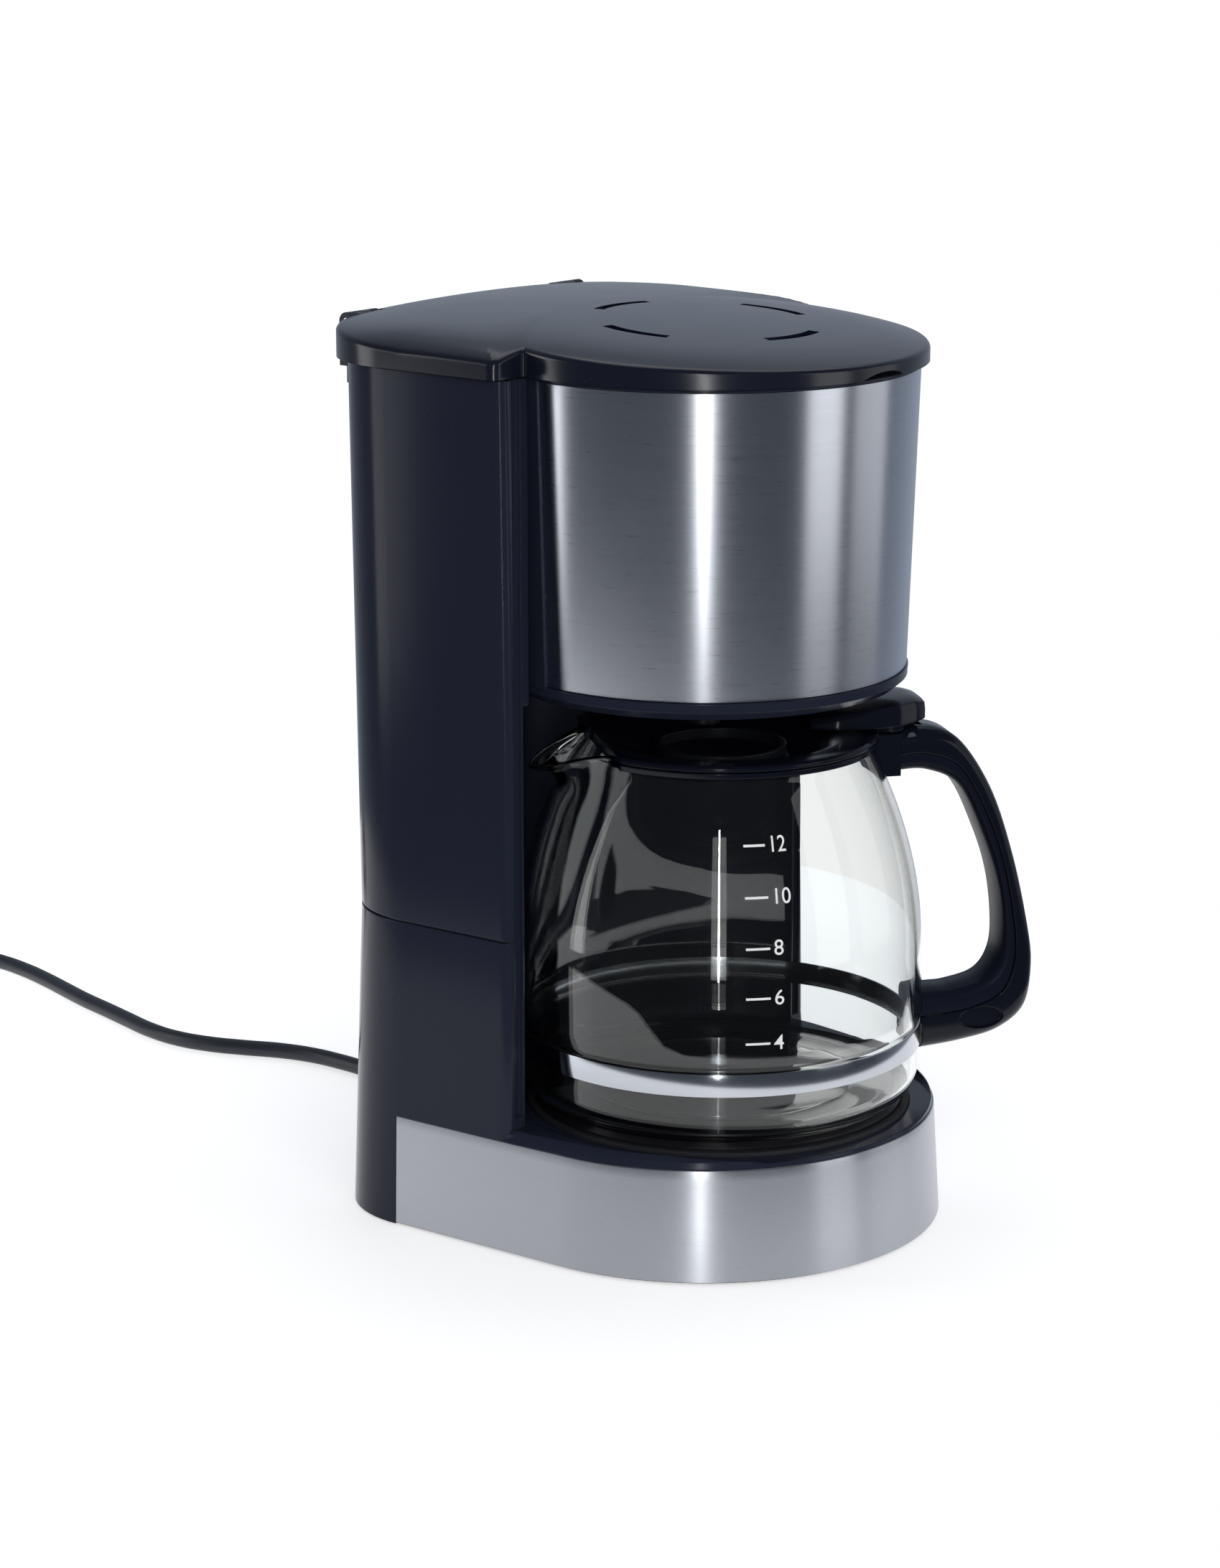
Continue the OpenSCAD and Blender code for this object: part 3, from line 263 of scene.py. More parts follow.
def rounded(corners, radii, steps=5):
    """A polyline whose corners are replaced by arcs.

    Each arc touches both sides at the radius times the tangent of half the turn, cut down where a
    side is too short, and is a quadratic curve between those two points."""
    corners = np.asarray(corners, float)
    out = []
    for i, corner in enumerate(corners):
        radius = radii[i] if np.ndim(radii) else radii
        before, after = corners[i - 1] - corner, corners[(i + 1) % len(corners)] - corner
        length_b, length_a = np.linalg.norm(before), np.linalg.norm(after)
        cosine = np.clip(before @ after / (length_b * length_a), -1, 1)
        half = math.acos(cosine) / 2
        reach = min(radius / max(math.tan(half), 1e-6), 0.49 * length_b, 0.49 * length_a)
        start, end = corner + before / length_b * reach, corner + after / length_a * reach
        t = np.linspace(0, 1, steps + 1)[:, None]
        out.append((1 - t) ** 2 * start + 2 * t * (1 - t) * corner + t**2 * end)
    return np.concatenate(out)


def about_axis(axis, angles, radius, height):
    """Points at some distances from an upright axis, at some angles round it and at some heights."""
    x, y = axis[0] + radius * np.cos(angles), axis[1] + radius * np.sin(angles)
    return np.stack(np.broadcast_arrays(x, y, height), -1)


def revolved(name, profile, axis, start=0.0, end=360.0, steps=256):
    """A closed profile of radius and height turned round an upright axis, as a mesh.

    u is the angle and v the place along the profile; a part turn gets flat ends."""
    profile = np.asarray(profile, float)
    whole = abs(end - start) >= 360
    angles = np.radians(np.linspace(start, end, steps + 1))
    if whole:
        angles = angles[:-1]
    points = about_axis(axis, angles[:, None], profile[:, 0], profile[:, 1])
    closed = np.vstack([profile, profile[:1]])
    along = np.concatenate([[0], np.cumsum(np.linalg.norm(np.diff(closed, axis=0), axis=1))])
    reach = profile[:, 0].max()
    uv = (
        lambda a: (np.radians(start) + a * np.radians(end - start) / steps) * reach * MM,
        lambda b: along[b] * MM,
    )
    return mesh_from_grid(name, points, wrap_u=whole, wrap_v=True, uv=uv, caps=not whole)


def hull_outline(circles, arc_steps=24, line_steps=6):
    """Outline of the tight band round circles given counter-clockwise as x, y and radius.

    Two neighbours are joined by their outer tangent; each circle keeps the arc between its two
    tangents. Equal counts of circles give equal counts of points, so two outlines can be lofted."""
    circles = np.asarray(circles, float)
    count = len(circles)
    normals = []
    for i in range(count):
        a, b = circles[i], circles[(i + 1) % count]
        step = b[:2] - a[:2]
        distance = np.linalg.norm(step)
        heading = math.atan2(step[1], step[0])
        normals.append(heading - math.acos(np.clip((a[2] - b[2]) / distance, -1, 1)))
    out = []
    for i in range(count):
        arrive, leave = normals[i - 1], normals[i]
        while leave < arrive:
            leave += 2 * math.pi
        t = np.linspace(arrive, leave, arc_steps + 1)
        arc = circles[i, :2] + circles[i, 2] * np.stack([np.cos(t), np.sin(t)], -1)
        following = circles[(i + 1) % count]
        touch = following[:2] + following[2] * np.array([math.cos(normals[i]), math.sin(normals[i])])
        w = np.linspace(0, 1, line_steps + 1)[1:-1, None]
        out += [arc, arc[-1] * (1 - w) + touch * w]
    return np.concatenate(out)


def catmull(points, steps):
    """A smooth curve through every point: each stretch is a cubic whose end slopes are half the
    difference of the neighbouring points."""
    points = np.asarray(points, float)
    padded = np.vstack([points[:1], points, points[-1:]])
    a, b, c, d = padded[:-3], padded[1:-2], padded[2:-1], padded[3:]
    t = (np.arange(steps) / steps)[None, :, None]
    a, b, c, d = (k[:, None, :] for k in (a, b, c, d))
    curve = 0.5 * (
        2 * b + (c - a) * t + (2 * a - 5 * b + 4 * c - d) * t**2 + (3 * b - a - 3 * c + d) * t**3
    )
    return np.vstack([curve.reshape(-1, points.shape[1]), points[-1:]])


# ---- Sizes and colours that a user would change ----


class MakerColours(bpy.types.PropertyGroup):
    """Colours of the finishes"""
    plastic: bpy.props.FloatVectorProperty(
        name="Plastic", description="Colour of the glossy black mouldings", subtype="COLOR",
        size=3, min=0, max=1, default=(0.0178, 0.0212, 0.0375))
    satin: bpy.props.FloatVectorProperty(
        name="Satin plastic", description="Colour of the satin inner mouldings", subtype="COLOR",
        size=3, min=0, max=1, default=(0.012, 0.013, 0.018))
    steel: bpy.props.FloatVectorProperty(
        name="Steel", description="Colour of the brushed steel", subtype="COLOR",
        size=3, min=0, max=1, default=(0.60, 0.62, 0.67))
    glass: bpy.props.FloatVectorProperty(
        name="Glass", description="Colour that the glass lets through", subtype="COLOR",
        size=3, min=0, max=1, default=(0.97, 0.985, 0.98))
    cord: bpy.props.FloatVectorProperty(
        name="Cord", description="Colour of the mains cord's sheath", subtype="COLOR",
        size=3, min=0, max=1, default=(0.02, 0.024, 0.034))


class MakerSizes(bpy.types.PropertyGroup):
    """Sizes of the details that the finish adds"""
    edge: bpy.props.FloatProperty(
        name="Edge radius", description="Radius of the edges of the mouldings", unit="LENGTH",
        subtype="DISTANCE", min=0.0001, max=0.003, default=0.0007, precision=4)
    brush: bpy.props.FloatProperty(
        name="Brush lines", description="Brush lines in a metre of steel, across the brushing",
        min=500, max=20000, default=4200)
    figure: bpy.props.FloatProperty(
        name="Figure height", description="Height of the figures on the glass", unit="LENGTH",
        subtype="DISTANCE", min=0.002, max=0.01, default=0.0056, precision=4)


# ---- Shader node groups ----


GROUPS = {}
FINISHES = {}
DUST_COLOUR = (0.35, 0.35, 0.36, 1.0)


def group_tree(name, inputs, outputs):
    """A shader node group, kept by name in GROUPS, with a vector and named values going in and
    values coming out; gives its tree and the sockets at its two ends."""
    tree = bpy.data.node_groups.new(name, "ShaderNodeTree")
    tree.interface.new_socket("Vector", in_out="INPUT", socket_type="NodeSocketVector")
    for label, default in inputs.items():
        socket = tree.interface.new_socket(label, in_out="INPUT", socket_type="NodeSocketFloat")
        socket.default_value = default
    for label in outputs:
        tree.interface.new_socket(label, in_out="OUTPUT", socket_type="NodeSocketFloat")
    GROUPS[name] = tree
    return tree, tree.nodes.new("NodeGroupInput").outputs, tree.nodes.new("NodeGroupOutput").inputs


def add_node(tree, kind, inputs, **settings):
    """A shader node with its settings; each input takes a plain value or another node's socket."""
    node = tree.nodes.new("ShaderNode" + kind)
    for name, value in settings.items():
        setattr(node, name, value)
    for label, value in inputs.items():
        if isinstance(value, bpy.types.NodeSocket):
            tree.links.new(value, node.inputs[label])
        else:
            node.inputs[label].default_value = value
    return node


def noise(tree, vector, scale, detail=3.0, roughness=0.55):
    """A noise texture on a vector."""
    inputs = {"Vector": vector, "Scale": scale, "Detail": detail, "Roughness": roughness}
    return add_node(tree, "TexNoise", inputs).outputs["Fac"]


def arithmetic(tree, operation, a, b, clamp=False):
    """A Math node on sockets or numbers."""
    return add_node(tree, "Math", {0: a, 1: b}, operation=operation, use_clamp=clamp).outputs[0]


def weighted(tree, a, share_a, b, share_b):
    """The sum of two values, each times its share."""
    return arithmetic(tree, "ADD", arithmetic(tree, "MULTIPLY", a, share_a),
                      arithmetic(tree, "MULTIPLY", b, share_b))


def remap(tree, value, low, high, to_low, to_high):
    """A value's range carried to another range, and clamped there."""
    inputs = {"Value": value, "From Min": low, "From Max": high, "To Min": to_low, "To Max": to_high}
    return add_node(tree, "MapRange", inputs).outputs["Result"]


def mixed(tree, factor, a, b, **settings):
    """A Mix node between two numbers or colours."""
    return add_node(tree, "Mix", {"Factor": factor, "A": a, "B": b}, **settings).outputs["Result"]


def split(tree, vector):
    """The X, Y and Z of a vector."""
    return add_node(tree, "SeparateXYZ", {0: vector}).outputs


def moulded_skin_group():
    """Skin of a moulding: a slight waviness for its height, and a patchy roughness."""
    tree, entry, leave = group_tree(
        "moulded_skin", {"Gloss": 0.15, "Patches": 0.06}, ("Height", "Roughness"))
    ripple = noise(tree, entry["Vector"], 140.0, 2.0)
    grain = noise(tree, entry["Vector"], 2600.0, 2.0)
    patches = noise(tree, entry["Vector"], 26.0, 5.0, 0.65)
    centred = arithmetic(tree, "SUBTRACT", patches, 0.5)
    spread = arithmetic(tree, "MULTIPLY", centred, entry["Patches"])
    tree.links.new(weighted(tree, ripple, 0.5, grain, 0.12), leave["Height"])
    tree.links.new(arithmetic(tree, "ADD", entry["Gloss"], spread, clamp=True), leave["Roughness"])


def dust_group():
    """Sparse fine dust: small specks that noise thins out over the surface."""
    tree, entry, leave = group_tree("fine_dust", {"Amount": 0.3}, ("Mask",))
    specks = add_node(tree, "TexVoronoi", {"Vector": entry["Vector"], "Scale": 520.0})
    dots = remap(tree, specks.outputs["Distance"], 0.05, 0.11, 1.0, 0.0)
    cloud = noise(tree, entry["Vector"], 60.0, 4.0, 0.7)
    thinned = arithmetic(tree, "MULTIPLY", dots, remap(tree, cloud, 0.56, 0.70, 0.0, 1.0))
    tree.links.new(arithmetic(tree, "MULTIPLY", thinned, entry["Amount"]), leave["Mask"])


def brushed_group():
    """Brushed metal: noise drawn out along the brushing, for its height, tone and roughness."""
    tree, entry, leave = group_tree(
        "brushed_lines", {"Lines": 5200.0, "Draw": 0.012}, ("Height", "Tone"))
    along, across, _ = split(tree, entry["Vector"])
    drawn = arithmetic(tree, "MULTIPLY", along, entry["Draw"])
    vector = add_node(tree, "CombineXYZ", {"X": drawn, "Y": across}).outputs[0]
    fine = noise(tree, vector, entry["Lines"], 3.0, 0.6)
    broad = noise(tree, vector, arithmetic(tree, "MULTIPLY", entry["Lines"], 0.22), 2.0)
    both = weighted(tree, fine, 0.65, broad, 0.35)
    tree.links.new(both, leave["Height"])
    tree.links.new(both, leave["Tone"])


def use_group(tree, name, vector, **values):
    """Places a shader group in a material with its own values."""
    return add_node(tree, "Group", {"Vector": vector, **values}, node_tree=GROUPS[name]).outputs


def new_finish(name, **sockets):
    """A material with one Principled BSDF whose plain sockets are set here."""
    material = bpy.data.materials.new(name)
    material.use_nodes = True
    tree = material.node_tree
    shader = tree.nodes["Principled BSDF"]
    for label, value in sockets.items():
        socket = shader.inputs[label.replace("_", " ")]
        socket.default_value = (*value, 1.0) if label == "Base_Color" else value
    FINISHES[name] = material
    return tree, shader


def add_bump(tree, shader, height, distance, strength=1.0, edge=0.0):
    """Feeds a height into the shader's normal, over edges that are rounded by the edge radius."""
    inputs = {"Distance": distance, "Strength": strength, "Height": height}
    if edge:
        inputs["Normal"] = add_node(tree, "Bevel", {"Radius": edge}, samples=6).outputs[0]
    tree.links.new(add_node(tree, "Bump", inputs).outputs[0], shader.inputs["Normal"])


def moulded_finish(name, colour, gloss, patches, bump, edge, dust=0.0, specular=0.5):
    """A moulded plastic with its skin, its rounded edges and a little dust."""
    tree, shader = new_finish(name, Base_Color=colour, Roughness=gloss, Specular_IOR_Level=specular)
    vector = add_node(tree, "TexCoord", {}).outputs["Object"]
    skin = use_group(tree, "moulded_skin", vector, Gloss=gloss, Patches=patches)
    tree.links.new(skin["Roughness"], shader.inputs["Roughness"])
    add_bump(tree, shader, skin["Height"], bump, edge=edge)
    if dust:
        mask = use_group(tree, "fine_dust", vector, Amount=dust)["Mask"]
        dusty = mixed(tree, mask, (*colour, 1.0), DUST_COLOUR, data_type="RGBA")
        tree.links.new(dusty, shader.inputs["Base Color"])


def steel_finish(name, colour, roughness, lines, draw, bump, anisotropy, mapped=True):
    """Brushed steel; mapped, its lines follow the piece's own surface map, and otherwise they run
    level round the piece."""
    tree, shader = new_finish(
        name, Base_Color=colour, Metallic=1.0, Roughness=roughness, Anisotropic=anisotropy,
        Anisotropic_Rotation=0.25)
    coordinates = add_node(tree, "TexCoord", {}).outputs
    if mapped:
        vector = coordinates["UV"]
        tangent = add_node(tree, "Tangent", {}, direction_type="UV_MAP", uv_map="surface")
        tree.links.new(tangent.outputs[0], shader.inputs["Tangent"])
    else:
        x, y, z = split(tree, coordinates["Object"])
        level = {"X": arithmetic(tree, "ADD", x, y), "Y": z}
        vector = add_node(tree, "CombineXYZ", level).outputs[0]
    lines_out = use_group(tree, "brushed_lines", vector, Lines=lines, Draw=draw)
    tone = remap(tree, lines_out["Tone"], 0.25, 0.75, 0.94, 1.05)
    toned = mixed(tree, 1.0, (*colour, 1.0), tone, data_type="RGBA", blend_type="MULTIPLY")
    tree.links.new(toned, shader.inputs["Base Color"])
    rough = remap(tree, lines_out["Tone"], 0.2, 0.8, roughness * 0.8, roughness * 1.2)
    tree.links.new(rough, shader.inputs["Roughness"])
    add_bump(tree, shader, lines_out["Height"], bump, 0.5)


def painted_shade(colour, share):
    """A colour made darker: painted shade."""
    return tuple(share * k for k in colour)


def make_finishes(colours, sizes):
    """Every finish of the machine, kept by name in FINISHES."""
    moulded_skin_group()
    dust_group()
    brushed_group()
    edge, brush = sizes.edge, sizes.brush
    # name, colour, roughness, its patches, bump in metres, edge radius, dust, specular level
    moulded_finish("gloss_black", colours.plastic, 0.16, 0.06, 0.00001, edge, 0.25, 0.14)
    moulded_finish("satin_black", colours.satin, 0.34, 0.08, 0.00002, edge, 0.15)
    moulded_finish("lid_black", (0.0075, 0.0095, 0.019), 0.2, 0.05, 0.00001, 0.0, 0.3)
    moulded_finish("handle_black", (0.0055, 0.007, 0.0135), 0.15, 0.05, 0.00001, edge, 0.2, 0.2)
    moulded_finish("grip_black", (0.0075, 0.0095, 0.018), 0.3, 0.05, 0.00001, edge, 0.2, 0.06)
    moulded_finish("natural_white", (0.55, 0.55, 0.53), 0.4, 0.1, 0.00002, edge)
    moulded_finish("rubber_black", (0.02, 0.021, 0.025), 0.6, 0.15, 0.00004, edge, 0.3)
    moulded_finish("cord_black", colours.cord, 0.42, 0.1, 0.00003, 0.0, 0.2)
    moulded_finish("plate_coating", (0.007, 0.007, 0.009), 0.32, 0.12, 0.00004, edge, 0.3, 0.3)
    moulded_finish("silicone", (0.5, 0.49, 0.46), 0.45, 0.1, 0.00002, 0.0)
    moulded_finish("printed_white", (1.0, 1.0, 1.0), 0.4, 0.05, 0.00001, 0.0)
    # name, colour, roughness, lines in a metre, their drawing out, bump in metres, anisotropy
    # The base's band and the jug's hoop take copies of the steel darkened to 0.72 and 0.85 of its
    # colour: painted shade that dims their reflections.
    band, hoop = painted_shade(colours.steel, 0.72), painted_shade(colours.steel, 0.85)
    steel_finish("brushed_steel", colours.steel, 0.3, brush, 0.03, 0.0000005, 0.85)
    steel_finish("band_steel", band, 0.3, brush, 0.03, 0.0000005, 0.85)
    steel_finish("jug_band", hoop, 0.12, brush, 0.02, 0.000002, 0.4)
    steel_finish("bright_steel", (0.62, 0.62, 0.63), 0.2, 3000.0, 0.05, 0.00001, 0.0, mapped=False)
    steel_finish("aluminium", (0.7, 0.7, 0.71), 0.36, 2400.0, 0.05, 0.00002, 0.0, mapped=False)
    steel_finish("gold_mesh", (0.75, 0.6, 0.3), 0.3, 2600.0, 0.9, 0.0001, 0.0, mapped=False)
    new_finish("clear_glass", Base_Color=colours.glass, Roughness=0.0, IOR=1.47,
               Transmission_Weight=1.0)
    new_finish("clear_plastic", Base_Color=(0.8, 0.86, 0.9), Roughness=0.12, IOR=1.49,
               Transmission_Weight=1.0)


# Which finish each solid has that needs no piece of its own
PLAIN_NODES = {
    "satin_black": ("filter_basket", "spray_arm", "drip_valve", "switch_bezel", "switch_rocker",
                    "funnel_ring"),
    "gloss_black": ("bottom_cover",),
    "bright_steel": ("base_screws", "clamp_screw", "hinge_pins", "band_screw", "lid_pin",
                     "valve_spring", "heater_clamp", "thermal_fuse", "plug_pins"),
    "clear_plastic": ("level_window",),
    "natural_white": ("water_tank", "riser_tube", "check_valve", "terminal_block", "thermostat"),
    "rubber_black": ("feet", "plate_seal", "plug_body"),
    "silicone": ("inlet_hose", "outlet_hose"),
    "aluminium": ("heater_tube",),
    "gold_mesh": ("mesh_filter",),
}


# ---- Operators: one for each piece or group of like pieces, and one for the stage ----


class MAKER_OT_finishes(bpy.types.Operator):
    """Makes the finishes and gives them to merged, smoothly shaded copies of the solids that need no
    piece of their own
    """
    bl_idname = "maker.finishes"
    bl_label = "Finishes"

    def execute(self, context):
        make_finishes(context.scene.maker_colours, context.scene.maker_sizes)
        for finish, nodes in PLAIN_NODES.items():
            for node in nodes:
                smooth_copy(node, FINISHES[finish])
        return {"FINISHED"}


class MAKER_OT_stage(bpy.types.Operator):
    """Makes the pale floor, the studio light and the camera"""
    bl_idname = "maker.stage"
    bl_label = "Stage"

    # The camera: its place from the drum's axis in millimetres, turn and tilt in degrees, and lens
    camera_from_drum = (-1136.8, -909.5, 524.0)
    camera_azimuth = 50.0
    camera_pitch = 13.98
    camera_lens = 94.09
    # Half sizes of the oval table, how far back it stands, and its glow: the distances in metres
    # between which it rises, and its strength there
    table = (420.0, 450.0)
    table_back = 170.0
    table_glow = (0.12, 0.4, 0.56, 0.77)
    # Strength of the studio in front and at the back, and of what glass shows beside the backdrop
    studio_front = 0.085
    studio_back = 0.43
    studio_deep = 0.035
    studio_tint = (0.84, 0.95, 1.14, 1.0)
    # Soft boxes: name, degrees from the camera to its right, distance, height, width, length in
    # metres, and radiance; they face a point at one height on the drum's axis
    soft_boxes = (
        ("key", -1.5, 1.5, 0.4, 0.028, 1.1, 36.0),
        ("glow", -1.5, 1.6, 0.4, 0.24, 1.1, 1.1),
        ("right", 64.0, 1.3, 0.4, 0.5, 1.0, 1.4),
        ("right_far", 96.0, 1.3, 0.4, 0.6, 1.0, 0.65),
        ("left", -91.0, 1.3, 0.4, 0.44, 1.0, 2.3),
        ("top", 170.0, 0.5, 1.6, 1.2, 1.2, 0.8),
        ("fill", 10.0, 1.7, 0.9, 1.2, 1.2, 3.0),
    )
    aim_height = 0.2
    not_in_gloss = ("fill",)
    not_in_glass = ("fill", "right", "right_far")

    def execute(self, context):
        self.camera(context.scene)
        self.floor()
        self.world(context.scene)
        self.lamps()
        context.scene.view_settings.view_transform = "Standard"
        return {"FINISHED"}

    def camera(self, scene):
        """The camera, off the machine's front left corner and a little above it."""
        data = bpy.data.cameras.new("camera")
        data.sensor_width = 36.0
        data.lens = self.camera_lens
        data.clip_end = 50.0
        camera = placed("camera", data)
        camera.location = (np.array([*DRUM_AXIS, 0.0]) + self.camera_from_drum) * MM
        camera.rotation_euler = (
            math.radians(90 - self.camera_pitch), 0.0, math.radians(-self.camera_azimuth))
        scene.camera = camera

    def floor(self):
        """An oval white table; camera, glossy and transmission rays see it white where it is lit."""
        angles = np.linspace(0, 2 * math.pi, 97)[:-1]
        rings = np.array([0.0, 0.5, 1.0])
        points = np.zeros((len(angles), len(rings), 3))
        points[..., 0] = np.cos(angles)[:, None] * rings * self.table[0]
        points[..., 1] = np.sin(angles)[:, None] * rings * self.table[1] + self.table_back
        points[..., 2] = -0.05
        mesh = mesh_from_grid("floor", points, wrap_u=True)
        floor = placed("floor", mesh)
        tree, shader = new_finish("floor_white", Base_Color=(0.9, 0.9, 0.9), Roughness=0.6)
        place = add_node(tree, "TexCoord", {}).outputs["Object"]
        away = add_node(tree, "VectorMath", {0: place}, operation="LENGTH").outputs["Value"]
        glow = add_node(tree, "Emission", {"Strength": remap(tree, away, *self.table_glow)})
        both = add_node(tree, "AddShader", {0: shader.outputs[0], 1: glow.outputs[0]})
        path = add_node(tree, "LightPath", {}).outputs
        through = arithmetic(tree, "MAXIMUM", path["Is Glossy Ray"], path["Is Transmission Ray"])
        seen = arithmetic(tree, "MAXIMUM", path["Is Camera Ray"], through)
        choice = {"Fac": seen, 1: shader.outputs[0], 2: both.outputs[0]}
        surface = add_node(tree, "MixShader", choice).outputs[0]
        tree.links.new(surface, tree.nodes["Material Output"].inputs["Surface"])
        mesh.materials.append(FINISHES["floor_white"])

    def world(self, scene):
        """White to the camera, and white behind the object through glass; for light and gloss a
        grey studio with a paler back."""
        world = bpy.data.worlds.new("studio")
        world.use_nodes = True
        scene.world = world
        tree = world.node_tree
        background = tree.nodes["Background"].inputs
        path = add_node(tree, "LightPath", {}).outputs
        x, y, _ = split(tree, add_node(tree, "TexCoord", {}).outputs["Generated"])
        azimuth = math.radians(self.camera_azimuth)
        away = weighted(tree, x, math.sin(azimuth), y, math.cos(azimuth))
        studio = remap(tree, away, 0.1, 1.0, self.studio_front, self.studio_back)
        through = remap(tree, away, 0.76, 0.95, self.studio_deep, 1.0)
        in_glass = mixed(tree, path["Is Transmission Ray"], studio, through)
        strength = mixed(tree, path["Is Camera Ray"], in_glass, 1.0)
        tree.links.new(strength, background["Strength"])
        white = arithmetic(tree, "MAXIMUM", path["Is Camera Ray"], path["Is Transmission Ray"])
        tint = mixed(tree, white, self.studio_tint, (1.0, 1.0, 1.0, 1.0), data_type="RGBA")
        tree.links.new(tint, background["Color"])

    def lamps(self):
        """The soft boxes: a narrow one beside the camera, and one on each side."""
        centre = np.array([*DRUM_AXIS * MM, self.aim_height])
        facing = math.radians(self.camera_azimuth)
        for name, turn, distance, height, width, length, radiance in self.soft_boxes:
            angle = facing - math.radians(turn)
            place = centre + np.array([
                -math.sin(angle) * distance, -math.cos(angle) * distance, height - self.aim_height])
            data = bpy.data.lights.new("lamp_" + name, "AREA")
            data.shape = "RECTANGLE"
            data.size, data.size_y = width, length
            data.energy = radiance * math.pi * width * length
            lamp = placed("lamp_" + name, data)
            lamp.location = place
            lamp.visible_glossy = name not in self.not_in_gloss
            lamp.visible_transmission = name not in self.not_in_glass
            lamp.rotation_euler = Vector(centre - place).to_track_quat("-Z", "Y").to_euler()


class MAKER_OT_housings(bpy.types.Operator):
    """Dresses the two housings and the drum moulding"""
    bl_idname = "maker.housings"
    bl_label = "Housings"

    def execute(self, context):
        black = FINISHES["gloss_black"]
        for node in ("lower_housing", "tower_housing", "drum_housing"):
            smooth_copy(node, black)
        return {"FINISHED"}


class MAKER_OT_steel(bpy.types.Operator):
    """Makes the steel sleeve of the drum and the steel band of the base"""
    bl_idname = "maker.steel"
    bl_label = "Steel sleeve and band"

    # The band: its wall, the round of its upper edge, its corners, the height that it leans from, and
    # how far its front, sides and rear lean inwards
    thickness = 1.0
    roll = 0.45
    corner = 40.0
    foot_height = 1.0
    front_lean, side_lean, rear_lean = 2.6, 1.06, 1.09
    outline_count = 300
    # The sleeve: how much narrower its foot is, its wall, and the degrees that it leaves open behind
    sleeve_taper, sleeve_wall, sleeve_gap = 3.5, 0.8, 155.0

    def execute(self, context):
        self.sleeve()
        self.band()
        return {"FINISHED"}

    def outline(self, z, inset):
        """The base's outline at a height: its round front and its two rear corners."""
        low, high = BAND_LOW, BAND_HIGH
        share = (z - self.foot_height) / (high[2] - self.foot_height)
        front = BASE_RADIUS - self.front_lean * share
        half = (high[0] - low[0]) / 2 - self.side_lean * (z - low[2]) / (high[2] - low[2])
        rear, corner = BASE_REAR - self.rear_lean * share, self.corner
        circles = [(0, 0, front - inset), (half - corner, rear - corner, corner - inset),
                   (corner - half, rear - corner, corner - inset)]
        return hull_outline(circles, 90, 24)

    def front_part(self, z, inset, end):
        """The outline in front of the band's ends, from its right end round to its left end, at
        equal steps."""
        points = self.outline(z, inset)
        points = np.vstack([points, points])
        inside = points[:, 1] < end
        starts = np.flatnonzero(inside[1:] & ~inside[:-1])
        first = starts[0]
        last = first + 1
        while inside[last]:
            last += 1
        run = points[first:last + 1].copy()
        for end_index, next_index in ((0, 1), (-1, -2)):
            a, b = run[end_index], run[next_index]
            run[end_index] = a + (b - a) * (end - a[1]) / (b[1] - a[1])
        along = np.concatenate([[0], np.cumsum(np.linalg.norm(np.diff(run, axis=0), axis=1))])
        even = np.linspace(0, along[-1], self.outline_count)
        return np.stack([np.interp(even, along, run[:, k]) for k in (0, 1)], -1)

    def band(self):
        """The band: the base's leaning outline swept between its bottom and its rolled top edge."""
        low, high, roll = BAND_LOW, BAND_HIGH, self.roll
        end = high[1] - DRUM_AXIS[1]
        levels = np.linspace(low[2], high[2] - roll, 12)
        section = [(z, 0.0) for z in levels]
        section += [(high[2] - roll + roll * math.sin(a), roll - roll * math.cos(a))
                    for a in np.radians([30, 60, 90])]
        section += [(high[2], self.thickness), (low[2], self.thickness)]
        rows = np.stack([self.front_part(z, inset, end) for z, inset in section], axis=1)
        points = np.zeros((*rows.shape[:2], 3))
        points[..., :2] = rows + DRUM_AXIS
        points[..., 2] = [z for z, inset in section]
        reach = np.linalg.norm(np.diff(rows[:, 0], axis=0), axis=1).sum()
        heights = np.array([z for z, inset in section] + [section[0][0]])
        uv = (lambda a: a * reach / self.outline_count * MM, lambda b: heights[b] * MM)
        mesh = mesh_from_grid("base_band_steel", points, wrap_v=True, uv=uv, caps=True)
        finish_piece("base_band_steel", mesh, FINISHES["band_steel"], "machine",
                     ("base_band",), 40)

    def sleeve(self):
        """A thin cone, turned round the drum's axis over the arc that the solid has."""
        low, high = SLEEVE_LOW, SLEEVE_HIGH
        radius = DRUM_AXIS[1] - low[1]
        foot, wall = radius - self.sleeve_taper, self.sleeve_wall
        profile = rounded([
            (foot - wall, low[2]), (foot, low[2]), (radius, high[2]), (radius - wall, high[2])], 0.3, 3)
        start, end = 90 + self.sleeve_gap / 2, 450 - self.sleeve_gap / 2
        mesh = revolved("drum_sleeve_steel", profile, DRUM_AXIS, start, end, 220)
        finish_piece("drum_sleeve_steel", mesh, FINISHES["brushed_steel"], "machine",
                     ("drum_sleeve",), 60)


